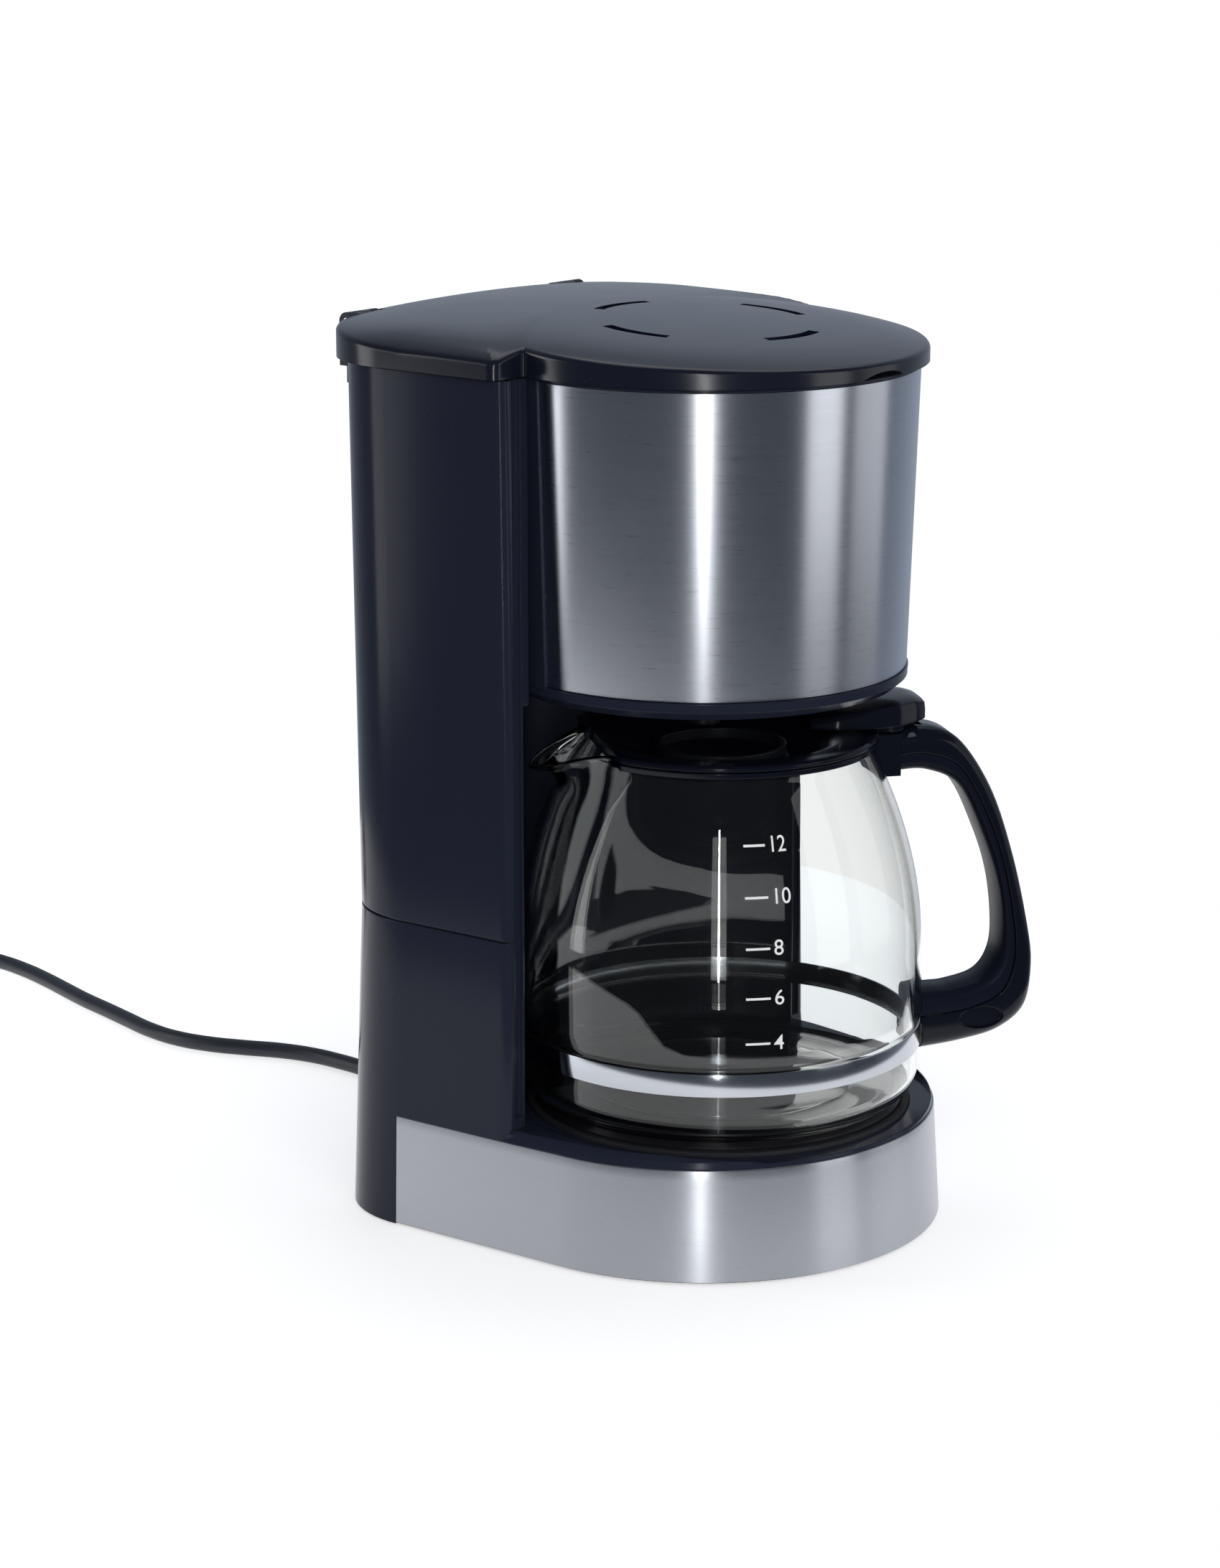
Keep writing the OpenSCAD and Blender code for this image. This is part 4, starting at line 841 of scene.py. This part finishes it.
class MAKER_OT_lid(bpy.types.Operator):
    """Makes the machine's lid: a crowned shell with a soft rim, steam slots, a finger scoop and
    hinge barrels"""
    bl_idname = "maker.lid"
    bl_label = "Lid"

    # The outline, from the drum's axis in millimetres: its front circle, the circles that its rear
    # is drawn round as x, y and radius, and how softly the two meet
    front_radius = 80.0
    rear_circles = ((89.0, 22.0, 4.0), (54.4, 74.4, 40.0), (-54.4, 74.4, 40.0), (-89.0, 22.0, 4.0))
    notch = 1.5
    # The face: where its crown is highest, the crown's radius, the rim's round, and how far in the
    # fall towards the rim starts
    crown_place = 60.0
    crown_radius = 1100.0
    rim = 1.6
    soft = 30.0
    # That fall in millimetres, how much deeper it gets at a distance to the side, and where behind
    # the axis it starts to fade, over what length and by how much
    fall, side_fall, side_place = 1.7, 3.6, 94.0
    fade_start, fade_length, fade_share = 62.0, 42.0, 0.65
    # A corner of the outline, where the rays are closer together
    corner = (84.0, 20.0)
    wall = 2.4
    slot_radius, slot_width, slot_half_turn = 40.5, 4.2, 20.0
    scoop_radius, scoop_rise = 34.0, 2.4
    hinge = (57.0, 114.5, 328.0)
    barrel_radius, barrel_width, barrel_bore, ear_room = 3.5, 8.0, 1.55, 4.2

    def execute(self, context):
        self.low, self.high = LID_LOW[2], LID_HIGH[2]
        tools = [self.slot(turn) for turn in (0, 90, 180, 270)]
        tools += [self.scoop(), self.hinge_notch(1), self.hinge_notch(-1)]
        shell = cut(self.shell(), tools)
        mesh = joined("lid_moulding", [shell, self.barrel(1), self.barrel(-1)])
        finish_piece("lid_moulding", mesh, FINISHES["lid_black"], "lid", ("lid",))
        return {"FINISHED"}

    def depth(self, x, y):
        """How far points lie inside the outline.

        The outline is the drum's circle joined to the tight band round the rear circles. Inside a
        convex outline the depth is the least distance to its tangents; the deeper of the two parts
        counts, blended where both are alike by (notch - difference)^2 / (4 notch)."""
        band = hull_outline(self.rear_circles, 24, 3)
        run = np.roll(band, -1, axis=0) - band
        keep = np.linalg.norm(run, axis=1) > 1e-6
        run, band = run[keep], band[keep]
        normals = np.stack([run[:, 1], -run[:, 0]], -1) / np.linalg.norm(run, axis=1)[:, None]
        offsets = (normals * band).sum(1)
        rear = (offsets - x[..., None] * normals[:, 0] - y[..., None] * normals[:, 1]).min(-1)
        front = self.front_radius - np.hypot(x, y)
        blend = np.clip(self.notch - np.abs(rear - front), 0, None) ** 2 / (4 * self.notch)
        return np.maximum(rear, front) + blend

    def ring(self, angles, inset):
        """Points at one depth inside the outline, found along each ray by halving its reach."""
        near, far = np.zeros_like(angles), np.full_like(angles, 160.0)
        for _ in range(26):
            half = (near + far) / 2
            y = self.crown_place + half * np.sin(angles)
            inside = self.depth(half * np.cos(angles), y) > inset
            near, far = np.where(inside, half, near), np.where(inside, far, half)
        return near

    def top(self, x, y, depth):
        """Height of the lid's face: a sphere's cap, less a soft fall towards the rim, which deepens
        to the sides with (x / place)^7 and fades towards the hinge, less the rim's round."""
        spread = x**2 + (y - self.crown_place) ** 2
        cap = self.high - self.crown_radius + np.sqrt(self.crown_radius**2 - spread)
        rear = 1 - self.fade_share * np.clip((y - self.fade_start) / self.fade_length, 0, 1)
        deepest = (self.fall + self.side_fall * np.abs(x / self.side_place) ** 7) * rear
        fall = deepest * np.clip(1 - depth / self.soft, 0, 1) ** 2.3
        outside = np.clip(self.rim - depth, 0, None)
        round_off = self.rim - np.sqrt(np.clip(self.rim**2 - outside**2, 0, None))
        return cap - fall - round_off

    def shell(self):
        """The shell over a grid of rays from the crown's middle and rows from its top to its skirt,
        and back inside, one wall further in."""
        corner = math.degrees(math.atan2(self.corner[1] - self.crown_place, self.corner[0]))
        close = np.linspace(-4, 4, 65)
        angles = np.radians(np.unique(np.concatenate([
            np.linspace(0, 360, 481)[:-1], corner % 360 + close, 180 - corner + close])))
        insets = np.concatenate([
            self.rim * (1 - np.cos(np.radians([0, 15, 30, 45, 60, 75]))),
            [1.6, 2.4, 4, 6, 9, 12, 16, 21, 27]])
        shares = np.array([0.85, 0.65, 0.45, 0.25, 0.1, 0.0])
        rows = []
        for inner in (0.0, self.wall):
            reach = np.stack([self.ring(angles, inset + inner) for inset in insets], 1)
            reach = np.hstack([reach, reach[:, -1:] * shares])
            depth = np.concatenate([insets, np.full(len(shares), self.soft)])
            x = reach * np.cos(angles)[:, None]
            y = self.crown_place + reach * np.sin(angles)[:, None]
            z = self.top(x, y, depth[None, :]) - inner
            skirt = np.stack([x[:, 0], y[:, 0], np.full(len(angles), self.low)], -1)[:, None]
            face = np.concatenate([skirt, np.stack([x, y, z], -1)], axis=1)
            rows.append(face[:, ::-1] if inner == 0 else face)
        points = np.concatenate(rows, axis=1)
        points[..., :2] += DRUM_AXIS
        return mesh_from_grid("lid_shell", points, wrap_u=True)

    def slot(self, turn):
        """A cutter that is an arc of a flat ring."""
        near, far = self.slot_radius - self.slot_width / 2, self.slot_radius + self.slot_width / 2
        foot, head = self.low - PAST, self.high + PAST
        section = [(near, foot), (far, foot), (far, head), (near, head)]
        start, end = turn - self.slot_half_turn, turn + self.slot_half_turn
        return revolved("slot", section, DRUM_AXIS, start, end, 24)

    def scoop(self):
        """A cutter that is a level cylinder along Y, whose crest is in the front of the skirt."""
        radius, length = self.scoop_radius, 2 * self.front_radius
        section = [(0, 0), (radius, 0), (radius, length), (0, length)]
        mesh = revolved("scoop", section, (0, 0), steps=160)
        place = (DRUM_AXIS[0], DRUM_AXIS[1] - length, self.low - radius + self.scoop_rise)
        return laid(mesh, place, (0, 2, 1))

    def hinge_place(self, side):
        """Middle of the hinge barrel on one side."""
        x, y, z = self.hinge
        return DRUM_AXIS[0] + side * x, DRUM_AXIS[1] + y, z

    def hinge_notch(self, side):
        """A cutter that makes room for a hinge ear of the tower."""
        x, y, _ = self.hinge_place(side)
        half = self.barrel_width / 2 + self.ear_room
        return block("notch", (x - half, y - self.barrel_radius - 1.2, self.low - PAST),
                     (x + half, y + 40, self.high + PAST))

    def barrel(self, side):
        """A hinge barrel along X on a short arm."""
        x, y, z = self.hinge_place(side)
        r, w, bore = self.barrel_radius, self.barrel_width / 2, self.barrel_bore
        section = rounded([(bore, -w), (r, -w), (r, w), (bore, w)], 0.3, 2)
        turned = laid(revolved("barrel", section, (0, 0), steps=40), (x, y, z), (2, 1, 0))
        arm = block("arm", (x - w, y - r - 3, z - r), (x + w, y - 1.6, z - r + 4))
        return joined("hinge_barrel", [closed_outwards(turned), closed_outwards(arm)])


class MAKER_OT_plate(bpy.types.Operator):
    """Dresses the warming plate"""
    bl_idname = "maker.plate"
    bl_label = "Warming plate"

    def execute(self, context):
        smooth_copy("hot_plate", FINISHES["plate_coating"])
        return {"FINISHED"}


class MAKER_OT_glass(bpy.types.Operator):
    """Makes the carafe's glass with its pouring lip, its steel band and its printed scale"""
    bl_idname = "maker.glass"
    bl_label = "Glass"

    radius = 74.7
    thickness = 2.4
    shoulder = 6.5
    rim_radius = 54.5
    belly = 50.0
    # The lip: how far it reaches and drops, its height, and its spread in radians
    lip_reach = 17.0
    lip_spread = 0.27
    lip_drop = 8.0
    lip_height = 20.0
    # The pinch on each side of the lip: its angle, spread and depth
    pinch_angle, pinch_spread, pinch_depth = 0.52, 0.16, 1.6
    # The steel band, which lies in the glass's waist, and its two ears: their places across the
    # handle and how far out they reach
    band_height = 8.4
    band_rise = 19.0
    band_wall = 0.7
    band_inset = 0.95
    ear_places, ear_reach = (-1.5, 1.5), 84.3
    # Height of each mark and its figure; the angles in degrees that they start and end at
    marks = ((156.5, "12"), (139.0, "10"), (121.3, "8"), (103.5, "6"), (87.0, "4"))
    mark_start, mark_end, figure_start = -134.2, -127.4, -126.4
    mark_half_height = 0.42
    mark_columns = 13
    print_clearance = 0.08

    def execute(self, context):
        self.bottom, self.rim = GLASS_LOW[2], GLASS_HIGH[2]
        self.band_foot = self.bottom + self.band_rise
        self.glass()
        self.band()
        self.scale(context)
        return {"FINISHED"}

    def outer_at(self, z):
        """Radius above the belly: radius - (radius - neck - 1.5) * share of the height ^ 2.1."""
        low, high = self.bottom + self.belly, self.rim - self.shoulder
        share = np.clip((z - low) / (high - low), 0, 1)
        return self.radius - (self.radius - self.rim_radius - 1.5) * share**2.1

    def profile(self):
        """Section of the glass: up its outer face from the middle of the base, over the rolled rim
        and down its inner face, which is the outer one moved inwards by the thickness."""
        z0, r, t, n = self.bottom, self.radius, self.thickness, self.rim_radius
        band_head = self.band_foot + self.band_height
        foot = catmull([(0, z0 + 2.2), (r - 32, z0 + 1.6), (r - 25, z0 + 0.6), (r - 18, z0),
                        (r - 13, z0 + 0.3)], 4)
        heel = [(r - 11 + 9.9 * math.sin(a), z0 + 10 - 10 * math.cos(a))
                for a in np.radians(range(8, 91, 8))]
        waist = [(r - 1.1, z0 + 14), (r - 1.1, band_head - 0.4)]
        step = [(r - 0.7, band_head + 0.8), (r - 0.1, band_head + 2.6)]
        heights = np.linspace(z0 + self.belly - 16, self.rim - self.shoulder, 34)
        side = [(r if z < z0 + self.belly else self.outer_at(z), z) for z in heights]
        neck = [(n + 0.4, self.rim - 4.4), (n, self.rim - 2.8)]
        lip = [(n - t / 2 + t / 2 * math.cos(a), self.rim - t / 2 + t / 2 * math.sin(a))
               for a in np.radians(range(0, 181, 30))]
        outer = list(map(tuple, foot)) + heel + waist + step + side + neck
        inner = []
        for index in range(len(outer) - 1, -1, -1):
            before = np.array(outer[max(index - 1, 0)])
            after = np.array(outer[min(index + 1, len(outer) - 1)])
            run = after - before
            side_step = np.array([-run[1], run[0]]) / max(np.linalg.norm(run), 1e-9)
            place = np.array(outer[index]) + side_step * t
            place[0] = max(place[0], 0.0)
            inner.append(tuple(place))
        inner[-1] = (0.0, z0 + 2.2 + t)
        return np.array(outer + lip + inner)

    def glass(self):
        """The section turned round the carafe's axis, with its neck drawn out opposite the handle.

        At an angle d from the lip's middle, with w = exp(-(d / spread)^2) and s rising smoothly from
        0 to 1 up the shoulder, a point moves out by reach * w * s^1.5 and down by drop * w * s^3. A
        shallow pinch on each side of the lip moves it in."""
        section = self.profile()
        angles = np.linspace(0, 2 * math.pi, 289)[:-1]
        middle_angle = HANDLE_DIRECTION + math.pi
        off = (angles - middle_angle + math.pi) % (2 * math.pi) - math.pi
        w = np.exp(-((off / self.lip_spread) ** 2))[:, None]
        s = np.clip((section[:, 1] - (self.rim - self.lip_height)) / self.lip_height, 0, 1)
        s = s * s * (3 - 2 * s)
        radius = section[None, :, 0] + self.lip_reach * w * s[None, :] ** 1.5
        height = section[None, :, 1] - self.lip_drop * w * s[None, :] ** 3
        pinch = np.exp(-(((np.abs(off) - self.pinch_angle) / self.pinch_spread) ** 2))[:, None]
        radius = radius - self.pinch_depth * pinch * s[None, :] ** 1.5 * (section[None, :, 0] > 20)
        points = about_axis(JUG_AXIS, angles[:, None], radius, height)
        mesh = mesh_from_grid("carafe_glass_blown", points, wrap_u=True)
        finish_piece("carafe_glass_blown", mesh, FINISHES["clear_glass"], "carafe",
                     ("carafe_glass",), 80)

    def band(self):
        """A thin hoop round the glass with two ears that run into the handle's foot."""
        low, high = self.band_foot, self.band_foot + self.band_height
        r = self.radius - self.band_inset
        out = r + self.band_wall
        section = rounded([(r, low), (out, low), (out, high), (r, high)], 0.2, 3)
        hoop = revolved("hoop", section, JUG_AXIS, steps=288)
        ears = [jug_block((r + 0.2, side - 0.5, low), (self.ear_reach, side + 0.5, high))
                for side in self.ear_places]
        mesh = joined("jug_band_steel", [hoop, *ears])
        finish_piece("jug_band_steel", mesh, FINISHES["jug_band"], "carafe",
                     ("carafe_band",), 40)

    def scale(self, context):
        """Printed marks and figures: flat shapes, wrapped round the glass."""
        size, count = context.scene.maker_sizes.figure / MM, self.mark_columns
        turn = math.radians(self.mark_end - self.mark_start)
        dash = np.zeros((2, count, 2))
        dash[..., 0] = np.linspace(0, turn, count) * self.radius
        dash[0, :, 1], dash[1, :, 1] = -self.mark_half_height, self.mark_half_height
        dash_faces = [(i, i + 1, count + i + 1, count + i) for i in range(count - 1)]
        pieces = []
        for z, figure in self.marks:
            pieces.append(self.wrap(dash.reshape(-1, 2), dash_faces, self.mark_start, z))
            data = bpy.data.curves.new("figure", "FONT")
            data.body = figure
            data.size = size * 1.38
            data.offset = 0.03
            data.resolution_u = 6
            data.align_y = "CENTER"
            item = placed("figure", data)
            graph = context.evaluated_depsgraph_get()
            shape = bpy.data.meshes.new_from_object(item.evaluated_get(graph))
            flat = np.array([v.co[:2] for v in shape.vertices])
            faces = [tuple(f.vertices) for f in shape.polygons]
            pieces.append(self.wrap(flat, faces, self.figure_start, z))
            bpy.data.objects.remove(item)
        mesh = joined("carafe_scale", pieces)
        piece = placed("carafe_scale", mesh)
        mesh.materials.append(FINISHES["printed_white"])
        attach(piece, "carafe")

    def wrap(self, flat, faces, start, z):
        """A flat shape laid round the glass from an angle, just clear of it."""
        heights = z + flat[:, 1]
        radius = self.outer_at(heights) + self.print_clearance
        angles = math.radians(start) + flat[:, 0] / self.radius
        points = about_axis(JUG_AXIS, angles, radius, heights)
        mesh = bpy.data.meshes.new("print")
        mesh.from_pydata((points * MM).tolist(), [], faces)
        return mesh


class MAKER_OT_jug_fittings(bpy.types.Operator):
    """Dresses the collar, the handle and the lid of the carafe"""
    bl_idname = "maker.jug_fittings"
    bl_label = "Collar, handle and carafe lid"

    # Boxes in the handle's frame: room for the pouring lip, across the axis from the handle; the
    # foot of the handle's head, which ends level with the handle; the lever's tip, which the thumb
    # plate covers; room for the lever in the handle's head
    pouring_gap = ((-75, -48, 150), (-45.5, 48, 200))
    under_head = ((50, -20, 140), (90, 20, 165))
    lever_tip = ((73.6, -25, 183.9), (95, 25, 200))
    lever_room = ((55.5, -5, 174), (75.5, 5, 240))
    # The handle: its width, how much slimmer its grip is on each side, the grip's share of its depth,
    # the seam between its halves, and how much its faces are crowned
    width = 22.0
    grip_inset = 0.8
    grip_share = 0.42
    seam_gap = 0.12
    crowning = 0.32
    # Both edges of the handle in its own plane: distance from the carafe's axis, and height
    outer = (
        (65.5, 182.5), (74.5, 183.3), (88, 178.3), (101, 159.5), (110.2, 134), (117.3, 104.5),
        (119.4, 88), (117, 72.5), (107, 63.8), (92, 60), (75.5, 58),
    )
    inner = (
        (65.5, 165.5), (76.5, 165.2), (89, 158.5), (98.5, 139), (104.3, 121), (106.2, 103.5),
        (104.8, 92.5), (99, 85.2), (88, 82.3), (81, 82), (75.5, 82),
    )
    # The thumb plate seen from the side: distance from the carafe's axis and height of its top edge,
    # and at the same places the height of its foot and half its width
    plate_top = ((31, 188.2), (40, 190.2), (52, 192.2), (63, 193.6), (70, 193.9), (74, 193.0))
    plate_foot = (184.4, 184.4, 184.4, 184.8, 185.8, 186.6)
    plate_half = (11.5, 15.5, 17.0, 16.0, 14.0, 11.5)
    # Its crown, the share of its half width where its shoulder starts, the rest, and the drop there
    plate_crown, plate_shoulder, plate_edge, plate_drop = 0.16, 0.93, 0.07, 0.3
    # The oval recess in both sides of the handle's foot: middle, half sizes and floor
    recess = (98.5, 70.3, 8.5, 4.2, 8.7)

    def execute(self, context):
        black = FINISHES["handle_black"]
        for node, body in (("neck_ring", "carafe"), ("carafe_lid", "carafe_lid")):
            rooms = [jug_block(*box) for box in (self.pouring_gap, self.under_head, self.lever_tip)]
            mesh = cut(frame["nodes"][node].data.copy(), rooms)
            finish_piece(node + "_cut", mesh, black, body, (node,), 30)
        self.thumb_plate()
        inner, outer = catmull(self.inner, 8), catmull(self.outer, 8)
        seam = inner + self.grip_share * (outer - inner)
        across = outer - inner
        across /= np.linalg.norm(across, axis=1)[:, None]
        half_width = self.width / 2
        self.half("handle_shell_moulding", seam, outer, (0.5, 0.5, 4.0, 4.0), half_width, black,
                  "black_plastic", "handle_shell", (self.oval_recess(-1), self.oval_recess(1)))
        self.half("handle_grip_moulding", inner, seam - self.seam_gap * across, (3.5, 3.5, 0.5, 0.5),
                  half_width - self.grip_inset, FINISHES["grip_black"], "satin_plastic", "handle_grip")
        return {"FINISHED"}

    def thumb_plate(self):
        """The plate that the thumb presses: at each distance from the axis its section is a box
        with a crowned top, h (1 - crown |y / half|^3), which drops further past its shoulders."""
        top = catmull(self.plate_top, 8)
        steps = np.linspace(0, len(self.plate_top) - 1, len(top))
        index = np.arange(len(self.plate_top))
        foot = np.interp(steps, index, self.plate_foot)
        half = np.interp(steps, index, self.plate_half)
        y = np.concatenate([np.linspace(-1, 1, 25), [1, -1]])
        upper = np.arange(len(y)) < len(y) - 2
        past = np.clip(np.abs(y) - self.plate_shoulder, 0, None) / self.plate_edge
        crown = 1 - self.plate_crown * np.abs(y) ** 3 - self.plate_drop * past
        height = top[:, 1] - foot
        z = foot[:, None] + np.where(upper, height[:, None] * crown, 0.0)
        local = np.stack([np.broadcast_to(top[:, :1], z.shape), half[:, None] * y, z], -1)
        mesh = mesh_from_grid("thumb_plate", self.turned(local), wrap_v=True, caps=True)
        finish_piece("thumb_plate", mesh, FINISHES["handle_black"], "carafe_lid",
                     angle=45)

    def turned(self, local):
        """Points from the handle's own plane to the carafe's place."""
        turn = HANDLE_DIRECTION
        return np.stack([
            JUG_AXIS[0] + local[..., 0] * math.cos(turn) - local[..., 1] * math.sin(turn),
            JUG_AXIS[1] + local[..., 0] * math.sin(turn) + local[..., 1] * math.cos(turn),
            local[..., 2]], -1)

    def oval_recess(self, side):
        """A cutter that is an oval across the handle, from the recess's floor outwards."""
        r, z, half_length, half_height, floor = self.recess
        angles = np.linspace(0, 2 * math.pi, 49)[:-1]
        along, up = r + half_length * np.cos(angles), z + half_height * np.sin(angles)
        rows = np.stack([np.stack([along, np.full(len(angles), side * y), up], -1)
                         for y in (floor, self.width / 2 + 4)])
        mesh = mesh_from_grid("oval_recess", self.turned(rows), wrap_v=True, caps=True)
        return closed_outwards(mesh)

    def half(self, name, near, far, radii, half_width, finish, slot, node, tools=()):
        """One half of the handle: a section whose corners are rounded, swept between two edges.

        The section is a rectangle from one edge to the other, of the handle's width; radii are given
        for its near, near, far and far corners and drop where the section is slim. Its face away from
        the other half is crowned: it stands back by crowning * |y / half width|^2.8 of the depth."""
        depth = np.linalg.norm(far - near, axis=1)
        rows = []
        for start, end, d in zip(near, far, depth):
            flat = rounded([(0, half_width), (0, -half_width), (d, -half_width), (d, half_width)],
                           [min(k, 0.46 * d) for k in radii], 6)
            swell = self.crowning * np.abs(flat[:, 1:] / half_width) ** 2.8
            if radii[0] < radii[2]:
                flat[:, :1] *= 1 - swell
            else:
                flat[:, :1] += (d - flat[:, :1]) * swell
            direction = (end - start) / d
            place = start + flat[:, :1] * direction
            rows.append(np.stack([place[:, 0], flat[:, 1], place[:, 1]], -1))
        mesh = mesh_from_grid(name, self.turned(np.stack(rows)), wrap_v=True, caps=True)
        mesh = cut(mesh, [jug_block(*self.lever_room), *tools])
        finish_piece(name, mesh, finish, "carafe", (node,), 45)


class MAKER_OT_cord(bpy.types.Operator):
    """Lays the mains cord along its route and winds its coil"""
    bl_idname = "maker.cord"
    bl_label = "Cord"

    diameter = 6.5
    height = diameter / 2
    exit_z = 15.0
    # Route from the strain relief to the coil, behind the drum's axis, in millimetres
    route = (
        (30, 127, 15), (30, 143, 15), (30, 156, 13.4), (30, 169, 9.4), (30, 182, 5.4),
        (30, 196, height), (30, 212, height), (29, 229, height), (25, 244, height), (18, 259, height),
        (12, 274, height), (9, 290, height), (10, 307, height), (14, 325, height), (18, 342, height),
        (22, 360, height), (27, 378, height), (32, 396, height), (36, 414, height), (38, 432, height),
        (37, 450, height), (32, 468, height), (26, 486, height), (20, 504, height), (16.4, 519, height),
    )
    # The coil: its middle, the radius of its outer turn and its straight end
    coil_centre = (60.0, 540.0)
    coil_outer = 44.75
    tail = 26.0
    # Degrees of turn at which the lower layer ends, the step up starts and ends, the upper layer
    # reaches the outside, and the coil ends
    lower_end, step_start, step_end = 520, 500, 580
    upper_end, coil_end = 1150, 1170
    ribs = 7

    def execute(self, context):
        line = np.vstack([np.array(self.route, float), self.coil()])
        line[:, :2] += DRUM_AXIS
        self.relief()
        data = bpy.data.curves.new("mains_cord", "CURVE")
        data.dimensions = "3D"
        data.bevel_depth = self.height * MM
        data.bevel_resolution = 5
        data.resolution_u = 6
        spline = data.splines.new("BEZIER")
        spline.bezier_points.add(len(line) - 1)
        for point, place in zip(spline.bezier_points, line * MM):
            point.co = place
            point.handle_left_type = point.handle_right_type = "AUTO"
        piece = placed("mains_cord", data)
        data.materials.append(FINISHES["cord_black"])
        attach(piece, "machine")
        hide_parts("cord_lead", "cord_coil")
        return {"FINISHED"}

    def relief(self):
        """The strain relief: a flange, then a sleeve that tapers towards its end, with grooves all
        round, turned about the cord's axis."""
        low, high = box_mm("strain_relief")
        start = DRUM_AXIS[1] + BASE_REAR + 0.15
        radius, bore = self.diameter / 2 + 2, self.diameter / 2 + 0.15
        section = [(bore, low[1] - start), (radius - 0.15, low[1] - start), (radius - 0.15, 0.0),
                   (radius + 2, 0.0), (radius + 2, 1.7), (radius + 1.3, 2.4), (radius + 0.6, 2.4)]
        length = high[1] - start
        for rib in range(self.ribs):
            for share, sink in ((0.0, 0.0), (0.55, 0.0), (0.65, 1.1), (0.95, 1.1)):
                along = 3.0 + (rib + share) * (length - 7.0) / self.ribs
                outside = radius + 0.6 - (radius + 0.6 - bore - 0.9) * (along - 2.4) / (length - 2.4)
                section.append((outside - sink, along))
        section += [(bore + 0.9, length - 0.6), (bore + 0.5, length), (bore, length)]
        turned = revolved("strain_relief_ribbed", section, (0, 0), steps=48)
        place = ((low[0] + high[0]) / 2, start, self.exit_z)
        mesh = laid(turned, place, (0, 2, 1), (1, 1, -1))
        finish_piece("strain_relief_ribbed", mesh, FINISHES["rubber_black"], "machine",
                     ("strain_relief",), 30)

    def coil(self):
        """Two layers: a spiral inwards on the table for nearly one turn and a half, a step up, and a
        spiral outwards on top for a little more, then straight out to the plug. Each spiral's radius
        changes by one diameter in a turn, and the step rises by one diameter."""
        degrees = np.arange(20, self.coil_end + 1, 20.0)
        drawn_in = self.diameter * self.lower_end / 360
        back = np.clip((degrees - self.step_end) / (self.upper_end - self.step_end), 0, 1)
        radius = np.where(degrees <= self.lower_end, self.coil_outer - self.diameter * degrees / 360,
                          self.coil_outer - drawn_in + drawn_in * back)
        rise = np.clip((degrees - self.step_start) / (self.step_end - self.step_start), 0, 1)
        height = self.height + self.diameter * rise * rise * (3 - 2 * rise)
        turns = about_axis(self.coil_centre, np.radians(180 - degrees), radius, height)
        x, y = self.coil_centre[0], self.coil_centre[1] + self.coil_outer
        tail = np.array([[x + 8, y, 1.4 * self.diameter], [x + self.tail, y, self.diameter + 0.4]])
        return np.vstack([turns, tail])


class MAKER_PT_panel(bpy.types.Panel):
    """Lists the pieces in the sidebar"""
    bl_label = "Coffee maker"
    bl_idname = "MAKER_PT_panel"
    bl_space_type = "VIEW_3D"
    bl_region_type = "UI"
    bl_category = "Coffee maker"

    def draw(self, context):
        for group in (context.scene.maker_colours, context.scene.maker_sizes):
            for name in group.__annotations__:
                self.layout.prop(group, name)
        for operator in OPERATORS:
            self.layout.operator(operator.bl_idname)


OPERATORS = (
    MAKER_OT_finishes,
    MAKER_OT_stage,
    MAKER_OT_cord,
    MAKER_OT_housings,
    MAKER_OT_steel,
    MAKER_OT_lid,
    MAKER_OT_plate,
    MAKER_OT_glass,
    MAKER_OT_jug_fittings,
)
CLASSES = (MakerColours, MakerSizes, *OPERATORS, MAKER_PT_panel)


def register():
    for item in CLASSES:
        bpy.utils.register_class(item)
    bpy.types.Scene.maker_colours = bpy.props.PointerProperty(type=MakerColours)
    bpy.types.Scene.maker_sizes = bpy.props.PointerProperty(type=MakerSizes)


def unregister():
    del bpy.types.Scene.maker_sizes
    del bpy.types.Scene.maker_colours
    for item in reversed(CLASSES):
        bpy.utils.unregister_class(item)


def main():
    register()
    for operator in OPERATORS:
        group, name = operator.bl_idname.split(".")
        getattr(getattr(bpy.ops, group), name)()


if __name__ == "__main__":
    main()
